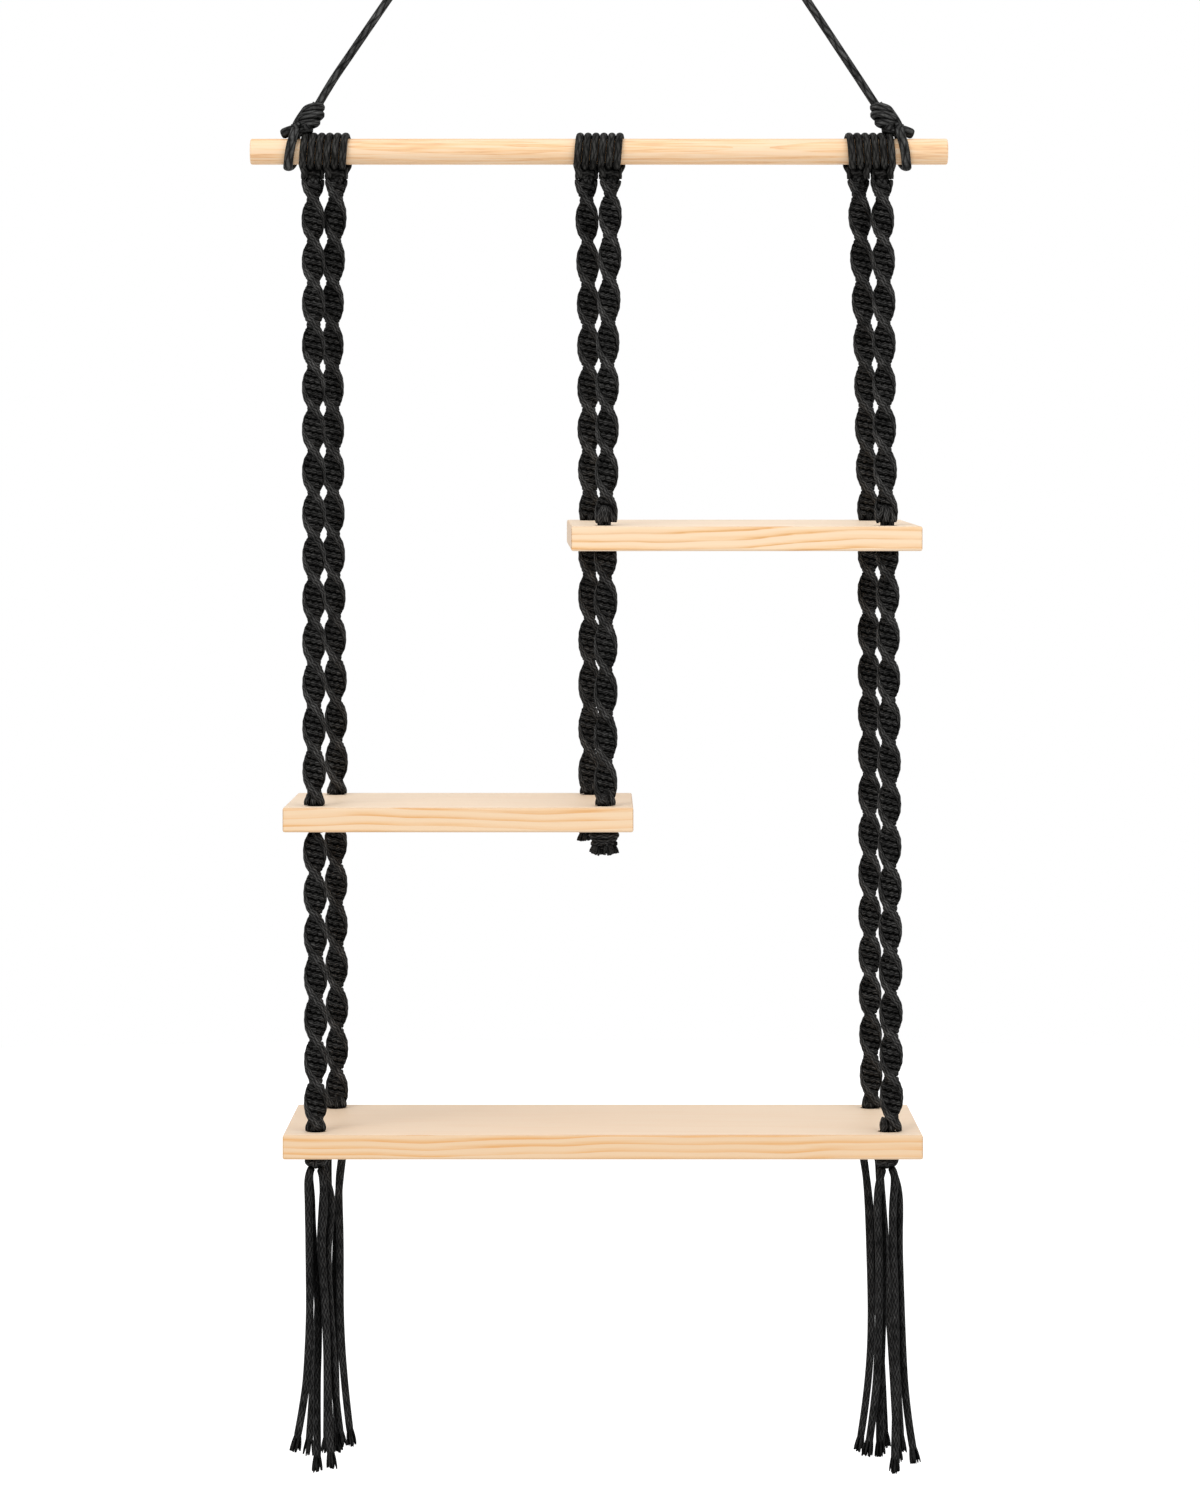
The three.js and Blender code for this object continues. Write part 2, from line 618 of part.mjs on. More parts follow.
// Tassel strands, measured from the middle of the knot that they hang from
const tassels = {
  left_front: [
    [
      [-2.6, -2.6, -6.9], [-3.9, -3.9, -10.6], [-4.5, -4.4, -15], [-4.5, -4.4, -20], [-4.3, -4.0, -27],
      [-4.2, -3.5, -36], [-4.0, -3.2, -46], [-3.9, -3.0, -57], [-3.7, -3.0, -72], [-3.6, -3.0, -93],
      [-4.3, -3.0, -114], [-5.6, -3.2, -135], [-7.6, -3.4, -150], [-10.0, -3.6, -164], [-12.7, -3.8, -178],
    ],
    [
      [-2.6, 2.6, -6.9], [-3.9, 3.9, -10.6], [-4.1, 4.3, -15], [-3.6, 4.2, -20], [-3.0, 3.7, -27],
      [-2.7, 3.1, -36], [-2.2, 2.7, -46], [-1.5, 2.5, -57], [-0.2, 2.3, -72], [1.2, 2.2, -93],
      [1.2, 2.2, -114], [0.6, 2.4, -135], [0.5, 2.4, -153], [0.6, 2.2, -172], [0.7, 2.0, -191],
    ],
    [
      [2.6, -2.6, -6.9], [3.9, -3.9, -10.6], [4.5, -4.4, -15], [4.7, -4.3, -20], [4.6, -3.9, -27],
      [4.3, -3.5, -36], [3.9, -3.2, -46], [3.8, -3.0, -57], [4.5, -3.0, -72], [5.9, -3.0, -93],
      [6.7, -3.0, -114], [7.2, -3.0, -135], [7.9, -3.0, -153], [8.7, -3.0, -171], [9.7, -3.0, -188],
    ],
    [
      [2.6, 2.6, -6.9], [3.9, 3.9, -10.6], [5.7, 4.6, -15], [7.6, 4.6, -20], [8.9, 4.0, -27],
      [8.8, 3.4, -36], [8.0, 2.9, -46], [7.1, 2.6, -57], [7.2, 2.4, -72], [8.4, 2.3, -93],
      [9.7, 2.3, -114], [10.9, 2.3, -135], [12.2, 2.3, -149], [13.8, 2.3, -163], [15.6, 2.3, -176],
    ],
  ],
  left_rear: [
    [
      [2.6, -2.6, -6.9], [3.9, -3.9, -10.6], [4.1, -4.4, -15], [3.5, -4.3, -20], [2.7, -3.9, -27],
      [2.3, -3.4, -36], [2.4, -3.1, -46], [2.8, -2.9, -60], [3.0, -2.8, -76], [3.0, -2.8, -93],
      [3.1, -2.8, -112], [4.0, -2.8, -134], [5.7, -2.9, -156], [7.8, -3.0, -176], [10.2, -3.0, -196],
    ],
    [
      [2.6, 2.6, -6.9], [3.9, 3.9, -10.6], [4.2, 4.3, -15], [3.7, 4.2, -20], [2.9, 3.8, -27],
      [2.0, 3.3, -36], [1.3, 3.0, -46], [0.6, 2.8, -60], [0.0, 2.7, -76], [-0.5, 2.7, -93],
      [-0.8, 2.7, -112], [-0.6, 2.7, -134], [-0.1, 2.7, -156], [0.5, 2.7, -179], [1.1, 2.7, -201],
    ],
    [
      [-2.6, -2.6, -6.9], [-3.9, -3.9, -10.6], [-4.4, -4.4, -15], [-4.5, -4.3, -20], [-4.5, -3.9, -27],
      [-4.4, -3.5, -36], [-4.5, -3.2, -46], [-4.7, -3.0, -60], [-5.0, -2.9, -76], [-5.3, -2.9, -93],
      [-5.4, -2.9, -112], [-5.3, -2.9, -134], [-5.2, -2.9, -156], [-5.3, -2.9, -179], [-5.5, -2.9, -201],
    ],
    [
      [-2.6, 2.6, -6.9], [-3.9, 3.9, -10.6], [-5.0, 4.4, -15], [-6.0, 4.3, -20], [-7.0, 3.9, -27],
      [-7.8, 3.4, -36], [-8.5, 3.0, -46], [-9.3, 2.8, -60], [-10.0, 2.7, -76], [-10.6, 2.7, -93],
      [-11.4, 2.7, -112], [-12.6, 2.7, -134], [-14.1, 2.7, -156], [-15.7, 2.7, -180], [-17.4, 2.7, -203],
    ],
  ],
  right_front: [
    [
      [-2.6, -2.6, -6.9], [-3.9, -3.9, -10.6], [-5.0, -4.4, -15], [-5.8, -4.4, -20], [-6.2, -4.0, -27],
      [-6.0, -3.5, -36], [-5.6, -3.2, -46], [-5.2, -3.0, -57], [-5.0, -3.0, -72], [-5.1, -3.0, -93],
      [-5.7, -3.0, -114], [-6.7, -3.2, -135], [-8.2, -3.4, -150], [-10.1, -3.6, -165], [-12.3, -3.8, -180],
    ],
    [
      [-2.6, 2.6, -6.9], [-3.9, 3.9, -10.6], [-4.2, 4.3, -15], [-4.0, 4.2, -20], [-3.5, 3.7, -27],
      [-3.0, 3.1, -36], [-2.6, 2.7, -46], [-2.3, 2.5, -57], [-2.3, 2.3, -72], [-2.6, 2.2, -93],
      [-3.2, 2.2, -114], [-3.8, 2.4, -135], [-4.2, 2.4, -151], [-4.4, 2.2, -167], [-4.5, 2.0, -182],
    ],
    [
      [2.6, -2.6, -6.9], [3.9, -3.9, -10.6], [4.1, -4.4, -15], [3.8, -4.3, -20], [3.3, -3.9, -27],
      [3.0, -3.5, -36], [3.1, -3.2, -46], [3.4, -3.0, -57], [4.0, -3.0, -72], [4.6, -3.0, -93],
      [5.0, -3.0, -114], [5.1, -3.0, -135], [4.9, -3.0, -154], [4.5, -3.0, -173], [4.0, -3.0, -191],
    ],
    [
      [2.6, 2.6, -6.9], [3.9, 3.9, -10.6], [5.4, 4.5, -15], [6.7, 4.4, -20], [7.5, 3.9, -27],
      [7.6, 3.3, -36], [7.4, 2.9, -46], [7.4, 2.6, -57], [7.8, 2.4, -72], [8.5, 2.3, -93],
      [9.3, 2.3, -114], [10.4, 2.3, -135], [12.0, 2.3, -152], [14.3, 2.3, -169], [17.2, 2.3, -186],
    ],
  ],
  right_rear: [
    [
      [-2.6, -2.6, -6.9], [-3.9, -3.9, -10.6], [-4.1, -4.4, -15], [-3.4, -4.3, -20], [-2.5, -3.9, -27],
      [-1.7, -3.4, -36], [-1.1, -3.1, -46], [-0.5, -2.9, -60], [0.0, -2.8, -76], [0.5, -2.8, -93],
      [0.8, -2.8, -112], [0.4, -2.8, -134], [-1.2, -2.9, -156], [-4.0, -3.0, -179], [-7.3, -3.0, -200],
    ],
    [
      [-2.6, 2.6, -6.9], [-3.9, 3.9, -10.6], [-4.0, 4.4, -15], [-3.3, 4.3, -20], [-2.2, 3.9, -27],
      [-1.0, 3.4, -36], [0.1, 3.0, -46], [1.4, 2.8, -60], [2.8, 2.7, -76], [4.2, 2.7, -93],
      [5.6, 2.7, -112], [6.9, 2.7, -134], [8.0, 2.7, -156], [9.0, 2.7, -178], [10.0, 2.7, -199],
    ],
    [
      [2.6, -2.6, -6.9], [3.9, -3.9, -10.6], [4.8, -4.4, -15], [5.4, -4.3, -20], [5.8, -3.9, -27],
      [6.3, -3.5, -36], [7.0, -3.2, -46], [8.0, -3.0, -60], [9.2, -2.9, -76], [10.5, -2.9, -93],
      [11.9, -2.9, -112], [13.4, -2.9, -134], [14.8, -2.9, -157], [16.1, -2.9, -182], [17.2, -2.9, -207],
    ],
    [
      [2.6, 2.6, -6.9], [3.9, 3.9, -10.6], [5.1, 4.4, -15], [6.0, 4.3, -20], [6.8, 3.9, -27],
      [7.5, 3.4, -36], [8.3, 3.0, -46], [9.4, 2.8, -60], [10.7, 2.7, -76], [12.2, 2.7, -93],
      [13.8, 2.7, -112], [15.6, 2.7, -134], [17.3, 2.7, -157], [18.8, 2.7, -179], [20.2, 2.7, -201],
    ],
  ],
};

function tassel(name, { holeX, holeY: knotY }, underside) {
  tassels[name].forEach((route, i) => {
    const geometry = cordAlong(pointsOf(route), strandDia, strandSteps);
    const mesh = addMesh(`${name}_strand_${i + 1}`, geometry, cordFinish);
    mesh.position.set(holeX, knotY, underside);
  });
}

dowel();
sling();
slingKnot(-1, "left_sling", leftLegRoute);
slingKnot(1, "right_sling", rightLegRoute);
board("upper_shelf", boards.upper);
board("middle_shelf", boards.middle);
board("lower_shelf", boards.lower);
for (const each of ropes) {
  ropeWithWinding(each);
  const underside = each.second.top - boardThickness;
  if (each.second === boards.lower) {
    stopKnot(`${each.name}_stop_knot`, each, underside);
    tassel(each.name, each, underside);
  } else {
    endKnot(`${each.name}_end_knot`, each, underside);
  }
}

export default shelf;
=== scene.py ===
# %% [markdown]
# # A hanging rope shelf
# Three pine boards hang from a dowel on six knotted cord ropes, and one cord sling carries the dowel.
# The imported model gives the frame: the boards, the dowel, and plain solids where each rope, knot and
# loose cord lies. This notebook dresses that frame. It keeps the boards' shapes, and puts real knotted
# cord in place of the plain solids. All sizes are in metres, unless a comment says otherwise.

# %% Load the frame
import json
import math
import random

import bpy
import numpy as np
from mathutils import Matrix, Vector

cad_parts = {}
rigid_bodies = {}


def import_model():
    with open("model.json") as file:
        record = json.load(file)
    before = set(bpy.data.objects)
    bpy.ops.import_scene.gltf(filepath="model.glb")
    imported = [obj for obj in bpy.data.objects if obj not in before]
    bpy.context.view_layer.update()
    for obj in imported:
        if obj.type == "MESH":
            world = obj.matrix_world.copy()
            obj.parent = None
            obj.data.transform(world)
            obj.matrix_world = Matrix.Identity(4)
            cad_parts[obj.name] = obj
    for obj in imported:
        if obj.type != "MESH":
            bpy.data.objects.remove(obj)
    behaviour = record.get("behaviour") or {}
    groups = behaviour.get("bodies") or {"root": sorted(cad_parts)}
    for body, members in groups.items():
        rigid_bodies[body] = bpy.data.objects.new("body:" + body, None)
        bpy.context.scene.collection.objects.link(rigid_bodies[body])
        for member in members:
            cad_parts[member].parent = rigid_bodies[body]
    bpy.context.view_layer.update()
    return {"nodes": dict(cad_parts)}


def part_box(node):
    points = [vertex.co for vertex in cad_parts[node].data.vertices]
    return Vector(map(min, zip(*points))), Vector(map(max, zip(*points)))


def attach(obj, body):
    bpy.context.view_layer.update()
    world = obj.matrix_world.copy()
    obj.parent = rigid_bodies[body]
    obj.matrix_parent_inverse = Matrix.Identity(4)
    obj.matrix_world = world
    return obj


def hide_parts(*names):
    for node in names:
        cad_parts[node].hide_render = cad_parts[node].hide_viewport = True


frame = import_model()
print("nodes in the frame:", len(frame["nodes"]))

# %% [markdown]
# ## The camera
# The photograph was taken from far away with a long lens, about level with the upper board. A level
# camera keeps the ropes upright. The view is moved down with the lens shift, as a photographer does with
# a view camera, because turning the camera down would make the ropes lean together.

# %% Camera
PHOTO_WIDTH = 1200
PHOTO_HEIGHT = 1500
FOCAL_PX = 4614
HORIZON_PX = 500
DOWEL_MIDDLE_PX = 599
DISTANCE = 2.847
HORIZON_Z = -0.5294
SENSOR_MM = 36


def placed(name, data):
    """A new object that holds this camera, mesh or lamp, linked to the scene."""
    made = bpy.data.objects.new(name, data)
    bpy.context.scene.collection.objects.link(made)
    return made


def add_camera():
    camera = bpy.data.cameras.new("camera")
    camera.sensor_fit = "VERTICAL"
    camera.sensor_height = SENSOR_MM
    camera.lens = SENSOR_MM * FOCAL_PX / PHOTO_HEIGHT
    camera.shift_y = (HORIZON_PX - PHOTO_HEIGHT / 2) / PHOTO_HEIGHT
    holder = placed("camera", camera)
    side = (PHOTO_WIDTH / 2 - DOWEL_MIDDLE_PX) * DISTANCE / FOCAL_PX
    holder.location = (side, -DISTANCE, HORIZON_Z)
    holder.rotation_euler = (math.pi / 2, 0, 0)
    bpy.context.scene.camera = holder
    return camera


camera = add_camera()
print("lens:", round(camera.lens, 1), "mm, shift:", round(camera.shift_y, 3))

# %% [markdown]
# ## Finding places in the frame
# A node's box tells where its solid lies. The dowel's box gives its height, radius and length, and a
# board's box gives its underside, where the knots and the tassels hang.

# %% Places
def foot(node):
    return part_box(node)[0][2]


dowel_low, dowel_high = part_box("dowel")
dowel_z = (dowel_low[2] + dowel_high[2]) / 2
dowel_radius = (dowel_high[2] - dowel_low[2]) / 2
dowel_end = dowel_high[0]
print("dowel:", round(2 * dowel_end, 3), "long, radius", round(dowel_radius, 4))

# %% [markdown]
# ## Cord as a tube
# Every cord on the shelf is a braided tube, so one helper makes them all. It carries a ring of corners
# along a list of points. A curve object with a round bevel would do for a loose cord, but a knotted
# cord is pressed flat, and a mesh lets each ring be wide one way and thin the other. The ring's corners
# also get UV coordinates, once round and then in metres along, which the braid in the material follows.

# %% Lines of points
TINY = 1e-12
NEARLY_PARALLEL = 0.1
VALUE_STEPS = 8


def unit(vectors):
    return vectors / np.maximum(np.linalg.norm(vectors, axis=-1, keepdims=True), TINY)


def smooth(points, steps):
    """A soft curve through the points, with a number of steps between each two."""
    points = np.array(points, float)
    ends = [2 * points[0] - points[1], *points, 2 * points[-1] - points[-2]]
    ends = np.array(ends)
    share = np.arange(steps)[:, None] / steps
    parts = []
    for a, b, c, d in zip(ends, ends[1:], ends[2:], ends[3:]):
        parts.append(0.5 * (
            2 * b + (c - a) * share
            + (2 * a - 5 * b + 4 * c - d) * share ** 2
            + (3 * b - 3 * c + d - a) * share ** 3
        ))
    return np.vstack([*parts, points[-1:]])


def eased(values, share):
    """A soft line through a few evenly spaced values, read at each share of its length."""
    line = smooth([(value, 0, 0) for value in values], VALUE_STEPS)[:, 0]
    return np.interp(share, np.linspace(0, 1, len(line)), line)


def runs_along(path):
    """How far along a path each of its points lies."""
    return np.concatenate([[0], np.cumsum(np.linalg.norm(np.diff(path, axis=0), axis=1))])


def length_of(route):
    return float(np.sum(np.linalg.norm(np.diff(np.array(route), axis=0), axis=1)))


def carried(tangents):
    """Sideways directions that follow a path without turning round it."""
    start = np.cross(tangents[0], (0, 1, 0))
    if np.linalg.norm(start) < NEARLY_PARALLEL:
        start = np.cross(tangents[0], (1, 0, 0))
    normals = [unit(start)]
    for tangent in tangents[1:]:
        last = normals[-1]
        normals.append(unit(last - tangent * np.dot(last, tangent)))
    return np.array(normals)


# %% Tubes
PLAIN_SIDES = 8
FINE_SIDES = 10
END_WIDTHS = np.array([0.35, 0.75, 0.95])
END_DEPTHS = np.array([0.0, 0.12, 0.45])
END_ROOM = 0.6


def tube(points, half, half_out=None, outward=None, sides=PLAIN_SIDES, lobes=0.0):
    """Corners, faces and UVs of a closed tube. half is across, half_out is along outward."""
    points = np.array(points, float)
    tangents = unit(np.gradient(points, axis=0))
    if outward is None:
        normals = carried(tangents)
    else:
        outward = np.broadcast_to(outward, points.shape)
        along = np.sum(outward * tangents, axis=1, keepdims=True)
        normals = unit(outward - along * tangents)
    across = np.cross(tangents, normals)
    half = np.broadcast_to(half, len(points))
    half_out = half if half_out is None else np.broadcast_to(half_out, len(points))
    turn = 2 * math.pi * np.arange(sides) / sides
    swell = 1 + lobes * np.cos(2 * turn)
    rings = (
        points[:, None]
        + (np.cos(turn) * swell)[None, :, None] * (normals * half_out[:, None])[:, None]
        + (np.sin(turn) * swell)[None, :, None] * (across * half[:, None])[:, None]
    )
    runs = runs_along(points)
    faces = []
    uvs = []
    for i in range(len(points) - 1):
        for j in range(sides):
            k = (j + 1) % sides
            here = i * sides
            faces.append((here + j, here + k, here + sides + k, here + sides + j))
            u, v = j / sides, (j + 1) / sides
            uvs += [(u, runs[i]), (v, runs[i]), (v, runs[i + 1]), (u, runs[i + 1])]
    last = (len(points) - 1) * sides
    faces.append(tuple(range(sides - 1, -1, -1)))
    faces.append(tuple(range(last, last + sides)))
    uvs += [(j / sides, runs[0]) for j in range(sides - 1, -1, -1)]
    uvs += [(j / sides, runs[-1]) for j in range(sides)]
    return rings.reshape(-1, 3), faces, uvs


def rounded(points, radius):
    """A path with a few more points at both ends, and the half widths that round them off."""
    points = np.array(points, float)
    depths = END_DEPTHS * radius
    first = unit(points[1] - points[0])
    last = unit(points[-2] - points[-1])
    head = points[0] + first * depths[:, None]
    tail = points[-1] + last * depths[::-1, None]
    inside = points[1:-1]
    keep = (
        (np.linalg.norm(inside - points[0], axis=1) > END_ROOM * radius)
        & (np.linalg.norm(inside - points[-1], axis=1) > END_ROOM * radius)
    )
    inside = inside[keep]
    path = np.vstack([head, inside, tail])
    widths = np.concatenate([END_WIDTHS, np.ones(len(inside)), END_WIDTHS[::-1]])
    return path, widths * radius


# %% Make one mesh piece from many tubes
def piece(node, tubes, material):
    """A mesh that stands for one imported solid, and moves with its body."""
    corners = []
    faces = []
    uvs = []
    for tube_corners, tube_faces, tube_uvs in tubes:
        start = sum(len(part) for part in corners)
        corners.append(tube_corners)
        faces += [tuple(corner + start for corner in face) for face in tube_faces]
        uvs += tube_uvs
    name = f"{node}_cord"
    mesh = bpy.data.meshes.new(name)
    mesh.from_pydata(np.vstack(corners).tolist(), [], faces)
    layer = mesh.uv_layers.new(name="braid")
    layer.data.foreach_set("uv", np.array(uvs).ravel())
    mesh.polygons.foreach_set("use_smooth", [len(face) == 4 for face in faces])
    mesh.materials.append(material)
    made = placed(name, mesh)
    body = frame["nodes"][node].parent.name.removeprefix("body:")
    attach(made, body)
    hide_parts(node)
    return made


# %% [markdown]
# ## Braided black cord
# The cord is a polyester braid, almost black, with soft light on the backs of its yarns. Two families
# of yarns run round it, one each way, and pass over and under each other. In the UV map each family is
# a set of slanting stripes. The shader makes both sets of stripes, and a chequer of the two picks which
# one lies on top. That height goes to a bump, and lightens the yarns' backs. Where two cords press
# together, an ambient occlusion node darkens them, because little light gets in. A white surrounding
# mirrors in every glossy surface, so a cord this black needs almost no gloss.

# %% Node helpers
def new_material(name):
    """An empty node material, and its tree of nodes."""
    material = bpy.data.materials.new(name)
    material.use_nodes = True
    material.node_tree.nodes.clear()
    return material, material.node_tree


def add_node(tree, kind, inputs, **settings):
    """A node of one kind, with its settings made, and its inputs set or linked."""
    node = tree.nodes.new(f"ShaderNode{kind}")
    for name, value in settings.items():
        setattr(node, name, value)
    for name, value in inputs.items():
        if isinstance(value, bpy.types.NodeSocket):
            tree.links.new(value, node.inputs[name])
        else:
            node.inputs[name].default_value = value
    return node


def new_shader(tree, roughness, gloss):
    """The main shader, whose roughness and gloss are the same all over the surface."""
    shader = add_node(tree, "BsdfPrincipled", {"Roughness": roughness, "Specular IOR Level": gloss})
    add_node(tree, "OutputMaterial", {"Surface": shader.outputs[0]})
    return shader


def add_bump(tree, shader, height, strength, distance):
    bump = add_node(tree, "Bump", {"Strength": strength, "Distance": distance, "Height": height})
    tree.links.new(bump.outputs[0], shader.inputs["Normal"])


def math_node(tree, operation, *values):
    return add_node(tree, "Math", dict(enumerate(values)), operation=operation).outputs[0]


def ramp(tree, value, stops):
    node = add_node(tree, "ValToRGB", {0: value})
    elements = node.color_ramp.elements
    while len(elements) < len(stops):
        elements.new(0.5)
    for element, (position, color) in zip(elements, stops):
        element.position = position
        element.color = (*color, 1)
    return node.outputs[0]


def noise(tree, place, scale, detail):
    return add_node(tree, "TexNoise", {"Vector": place, "Scale": scale, "Detail": detail}).outputs[0]


# %% Braid and crevices
NEAR_RAYS = 8


def braid_height(tree, along, around, yarns, run):
    """One where a yarn's back is highest, and zero in the furrows between yarns."""
    slant = math_node(tree, "DIVIDE", along, run)
    turns = math_node(tree, "MULTIPLY", around, yarns)
    waves = []
    for operation in ("ADD", "SUBTRACT"):
        family = math_node(tree, operation, slant, turns)
        waves.append(math_node(tree, "SINE", math_node(tree, "MULTIPLY", family, math.pi)))
    over = math_node(tree, "GREATER_THAN", math_node(tree, "MULTIPLY", *waves), 0.0)
    backs = [math_node(tree, "ABSOLUTE", wave) for wave in waves]
    first = math_node(tree, "MULTIPLY", backs[0], over)
    second = math_node(tree, "MULTIPLY", backs[1], math_node(tree, "SUBTRACT", 1.0, over))
    return math_node(tree, "ADD", first, second)


def crevices(tree, reach):
    """One on open surfaces, and less where another surface stands nearer than the reach."""
    return add_node(tree, "AmbientOcclusion", {"Distance": reach}, samples=NEAR_RAYS).outputs["AO"]


# %% Cord materials
CORD_DARK = (0.0005, 0.0005, 0.0005)
CORD_LIGHT = (0.108, 0.106, 0.103)
# The wound cord is the ropes' own cord; its lighter tone is set lower as painted shade.
WOUND_LIGHT_WITH_PAINTED_SHADE = (0.080, 0.078, 0.074)
SLING_LIGHT = (0.115, 0.115, 0.113)
# The tassel cord is the ropes' own cord; its lighter tone is set lower as painted shade.
TASSEL_LIGHT_WITH_PAINTED_SHADE = (0.064, 0.063, 0.062)
CORD_ROUGHNESS = 0.55
CORD_GLOSS = 0.03
CREVICE_REACH = 0.0035
# The tassels' wider reach paints more shade between their cords.
TASSEL_CREVICE_REACH = 0.007
CREVICE_DARKNESS = 1.9
FUZZ_SCALE = 900
FUZZ_TONES = (1.1, 0.15)
FUZZ_HEIGHT = 0.6
PATCH_SCALE = 180
PATCH_TONES = (2.0, -0.25)
CORD_BRAID = (7, 0.0062, 1.6)
WOUND_BRAID = (5, 0.011, 1.0)
SLING_BRAID = (5, 0.016, 1.2)
BRAID_BUMP = 0.8
BRAID_BUMP_DEPTH = 0.0004


def cord_material(name, braid, light, reach=CREVICE_REACH):
    """Braided cord: its yarns each way, a yarn's length on top, and how much darker its furrows are."""
    yarns, run, depth = braid
    material, tree = new_material(name)
    shader = new_shader(tree, CORD_ROUGHNESS, CORD_GLOSS)
    uv = add_node(tree, "UVMap", {}, uv_map="braid")
    around, along, _ = add_node(tree, "SeparateXYZ", {0: uv.outputs[0]}).outputs
    height = braid_height(tree, along, around, yarns, run)
    place = add_node(tree, "TexCoord", {}).outputs["Object"]
    fuzz = noise(tree, place, FUZZ_SCALE, 3)
    patches = noise(tree, place, PATCH_SCALE, 2)
    tone = math_node(tree, "POWER", height, depth)
    for share in (
        math_node(tree, "POWER", crevices(tree, reach), CREVICE_DARKNESS),
        math_node(tree, "MULTIPLY_ADD", fuzz, *FUZZ_TONES),
        math_node(tree, "MULTIPLY_ADD", patches, *PATCH_TONES),
    ):
        tone = math_node(tree, "MULTIPLY", tone, share)
    tree.links.new(ramp(tree, tone, [(0.0, CORD_DARK), (1.0, light)]), shader.inputs["Base Color"])
    rough_height = math_node(tree, "MULTIPLY_ADD", fuzz, FUZZ_HEIGHT, height)
    add_bump(tree, shader, rough_height, BRAID_BUMP, BRAID_BUMP_DEPTH)
    return material


cord = cord_material("braided black cord", CORD_BRAID, CORD_LIGHT)
# The wound cord and the tassel cord are darker copies of the ropes' cord: painted shade.
shaded_wound_cord = cord_material("cord wound on the dowel", WOUND_BRAID, WOUND_LIGHT_WITH_PAINTED_SHADE)
sling_cord = cord_material("braided sling cord", SLING_BRAID, SLING_LIGHT)
shaded_tassel_cord = cord_material("braided tassel cord", CORD_BRAID, TASSEL_LIGHT_WITH_PAINTED_SHADE, TASSEL_CREVICE_REACH)
for material in (cord, shaded_wound_cord, sling_cord, shaded_tassel_cord):
    print("cord material:", material.name)

# %% [markdown]
# ## The sling's legs
# The sling is one cord, a little thicker than the rest. Its two legs run taut from the knots at the
# dowel's ends to the loop on the hook, so each is a tube along a nearly straight route. The braid is a
# little flattened, and two low lobes in the tube's section show that.

# %% Sling legs
TO_FRONT = (0, -1, 0)
SLING_DIAMETER = 0.0054
SLING_HALF = SLING_DIAMETER / 2
LEG_THINNESS = 0.94
LEG_LOBES = 0.05
LEG_SIDES = 16
LEG_STEPS = 6
LEG_HEIGHTS = (
    -0.2875, -0.27, -0.252, -0.234, -0.216, -0.198, -0.18, -0.162,
    -0.144, -0.126, -0.108, -0.09, -0.072, -0.052, -0.0295,
)
LEFT_LEG_X = (
    -0.1744, -0.1639, -0.1517, -0.1394, -0.1271, -0.1149, -0.1026, -0.0903,
    -0.0781, -0.0658, -0.0536, -0.0414, -0.0293, -0.0165, -0.0055,
)
RIGHT_LEG_X = (
    0.172, 0.1606, 0.1487, 0.1368, 0.1249, 0.1129, 0.101, 0.0891,
    0.0772, 0.0653, 0.0534, 0.0415, 0.0298, 0.0169, 0.0055,
)
LEFT_LEG = [(x, 0, z) for x, z in zip(LEFT_LEG_X, LEG_HEIGHTS)]
RIGHT_LEG = [(x, 0, z) for x, z in zip(RIGHT_LEG_X, LEG_HEIGHTS)]


def sling_leg(name, route):
    path = smooth(route, LEG_STEPS)
    made = tube(path, SLING_HALF, SLING_HALF * LEG_THINNESS, TO_FRONT, LEG_SIDES, LEG_LOBES)
    return piece(name, [made], sling_cord)


left_leg = sling_leg("sling_left_leg", LEFT_LEG)
right_leg = sling_leg("sling_right_leg", RIGHT_LEG)
print("legs:", round(length_of(LEFT_LEG), 4), "m and", round(length_of(RIGHT_LEG), 4), "m")

# %% [markdown]
# ## The tassels
# Under each knot of the lowest board hang four cord ends. Each follows its own route, measured from the
# middle of its hole at the board's underside. The table keeps the routes short, in tenths of a
# millimetre: a row of places across, a row of places from front to back, and the last three drops. The
# first twelve drops are shared by all front cords, or by all rear cords. The ends are cut at different
# heights. A cord that carries nothing is loose, so it is drawn a little fuller than its thickness. The
# last stretch is combed out: a bunch of loose yarns in a few clumps, wider than the cord.

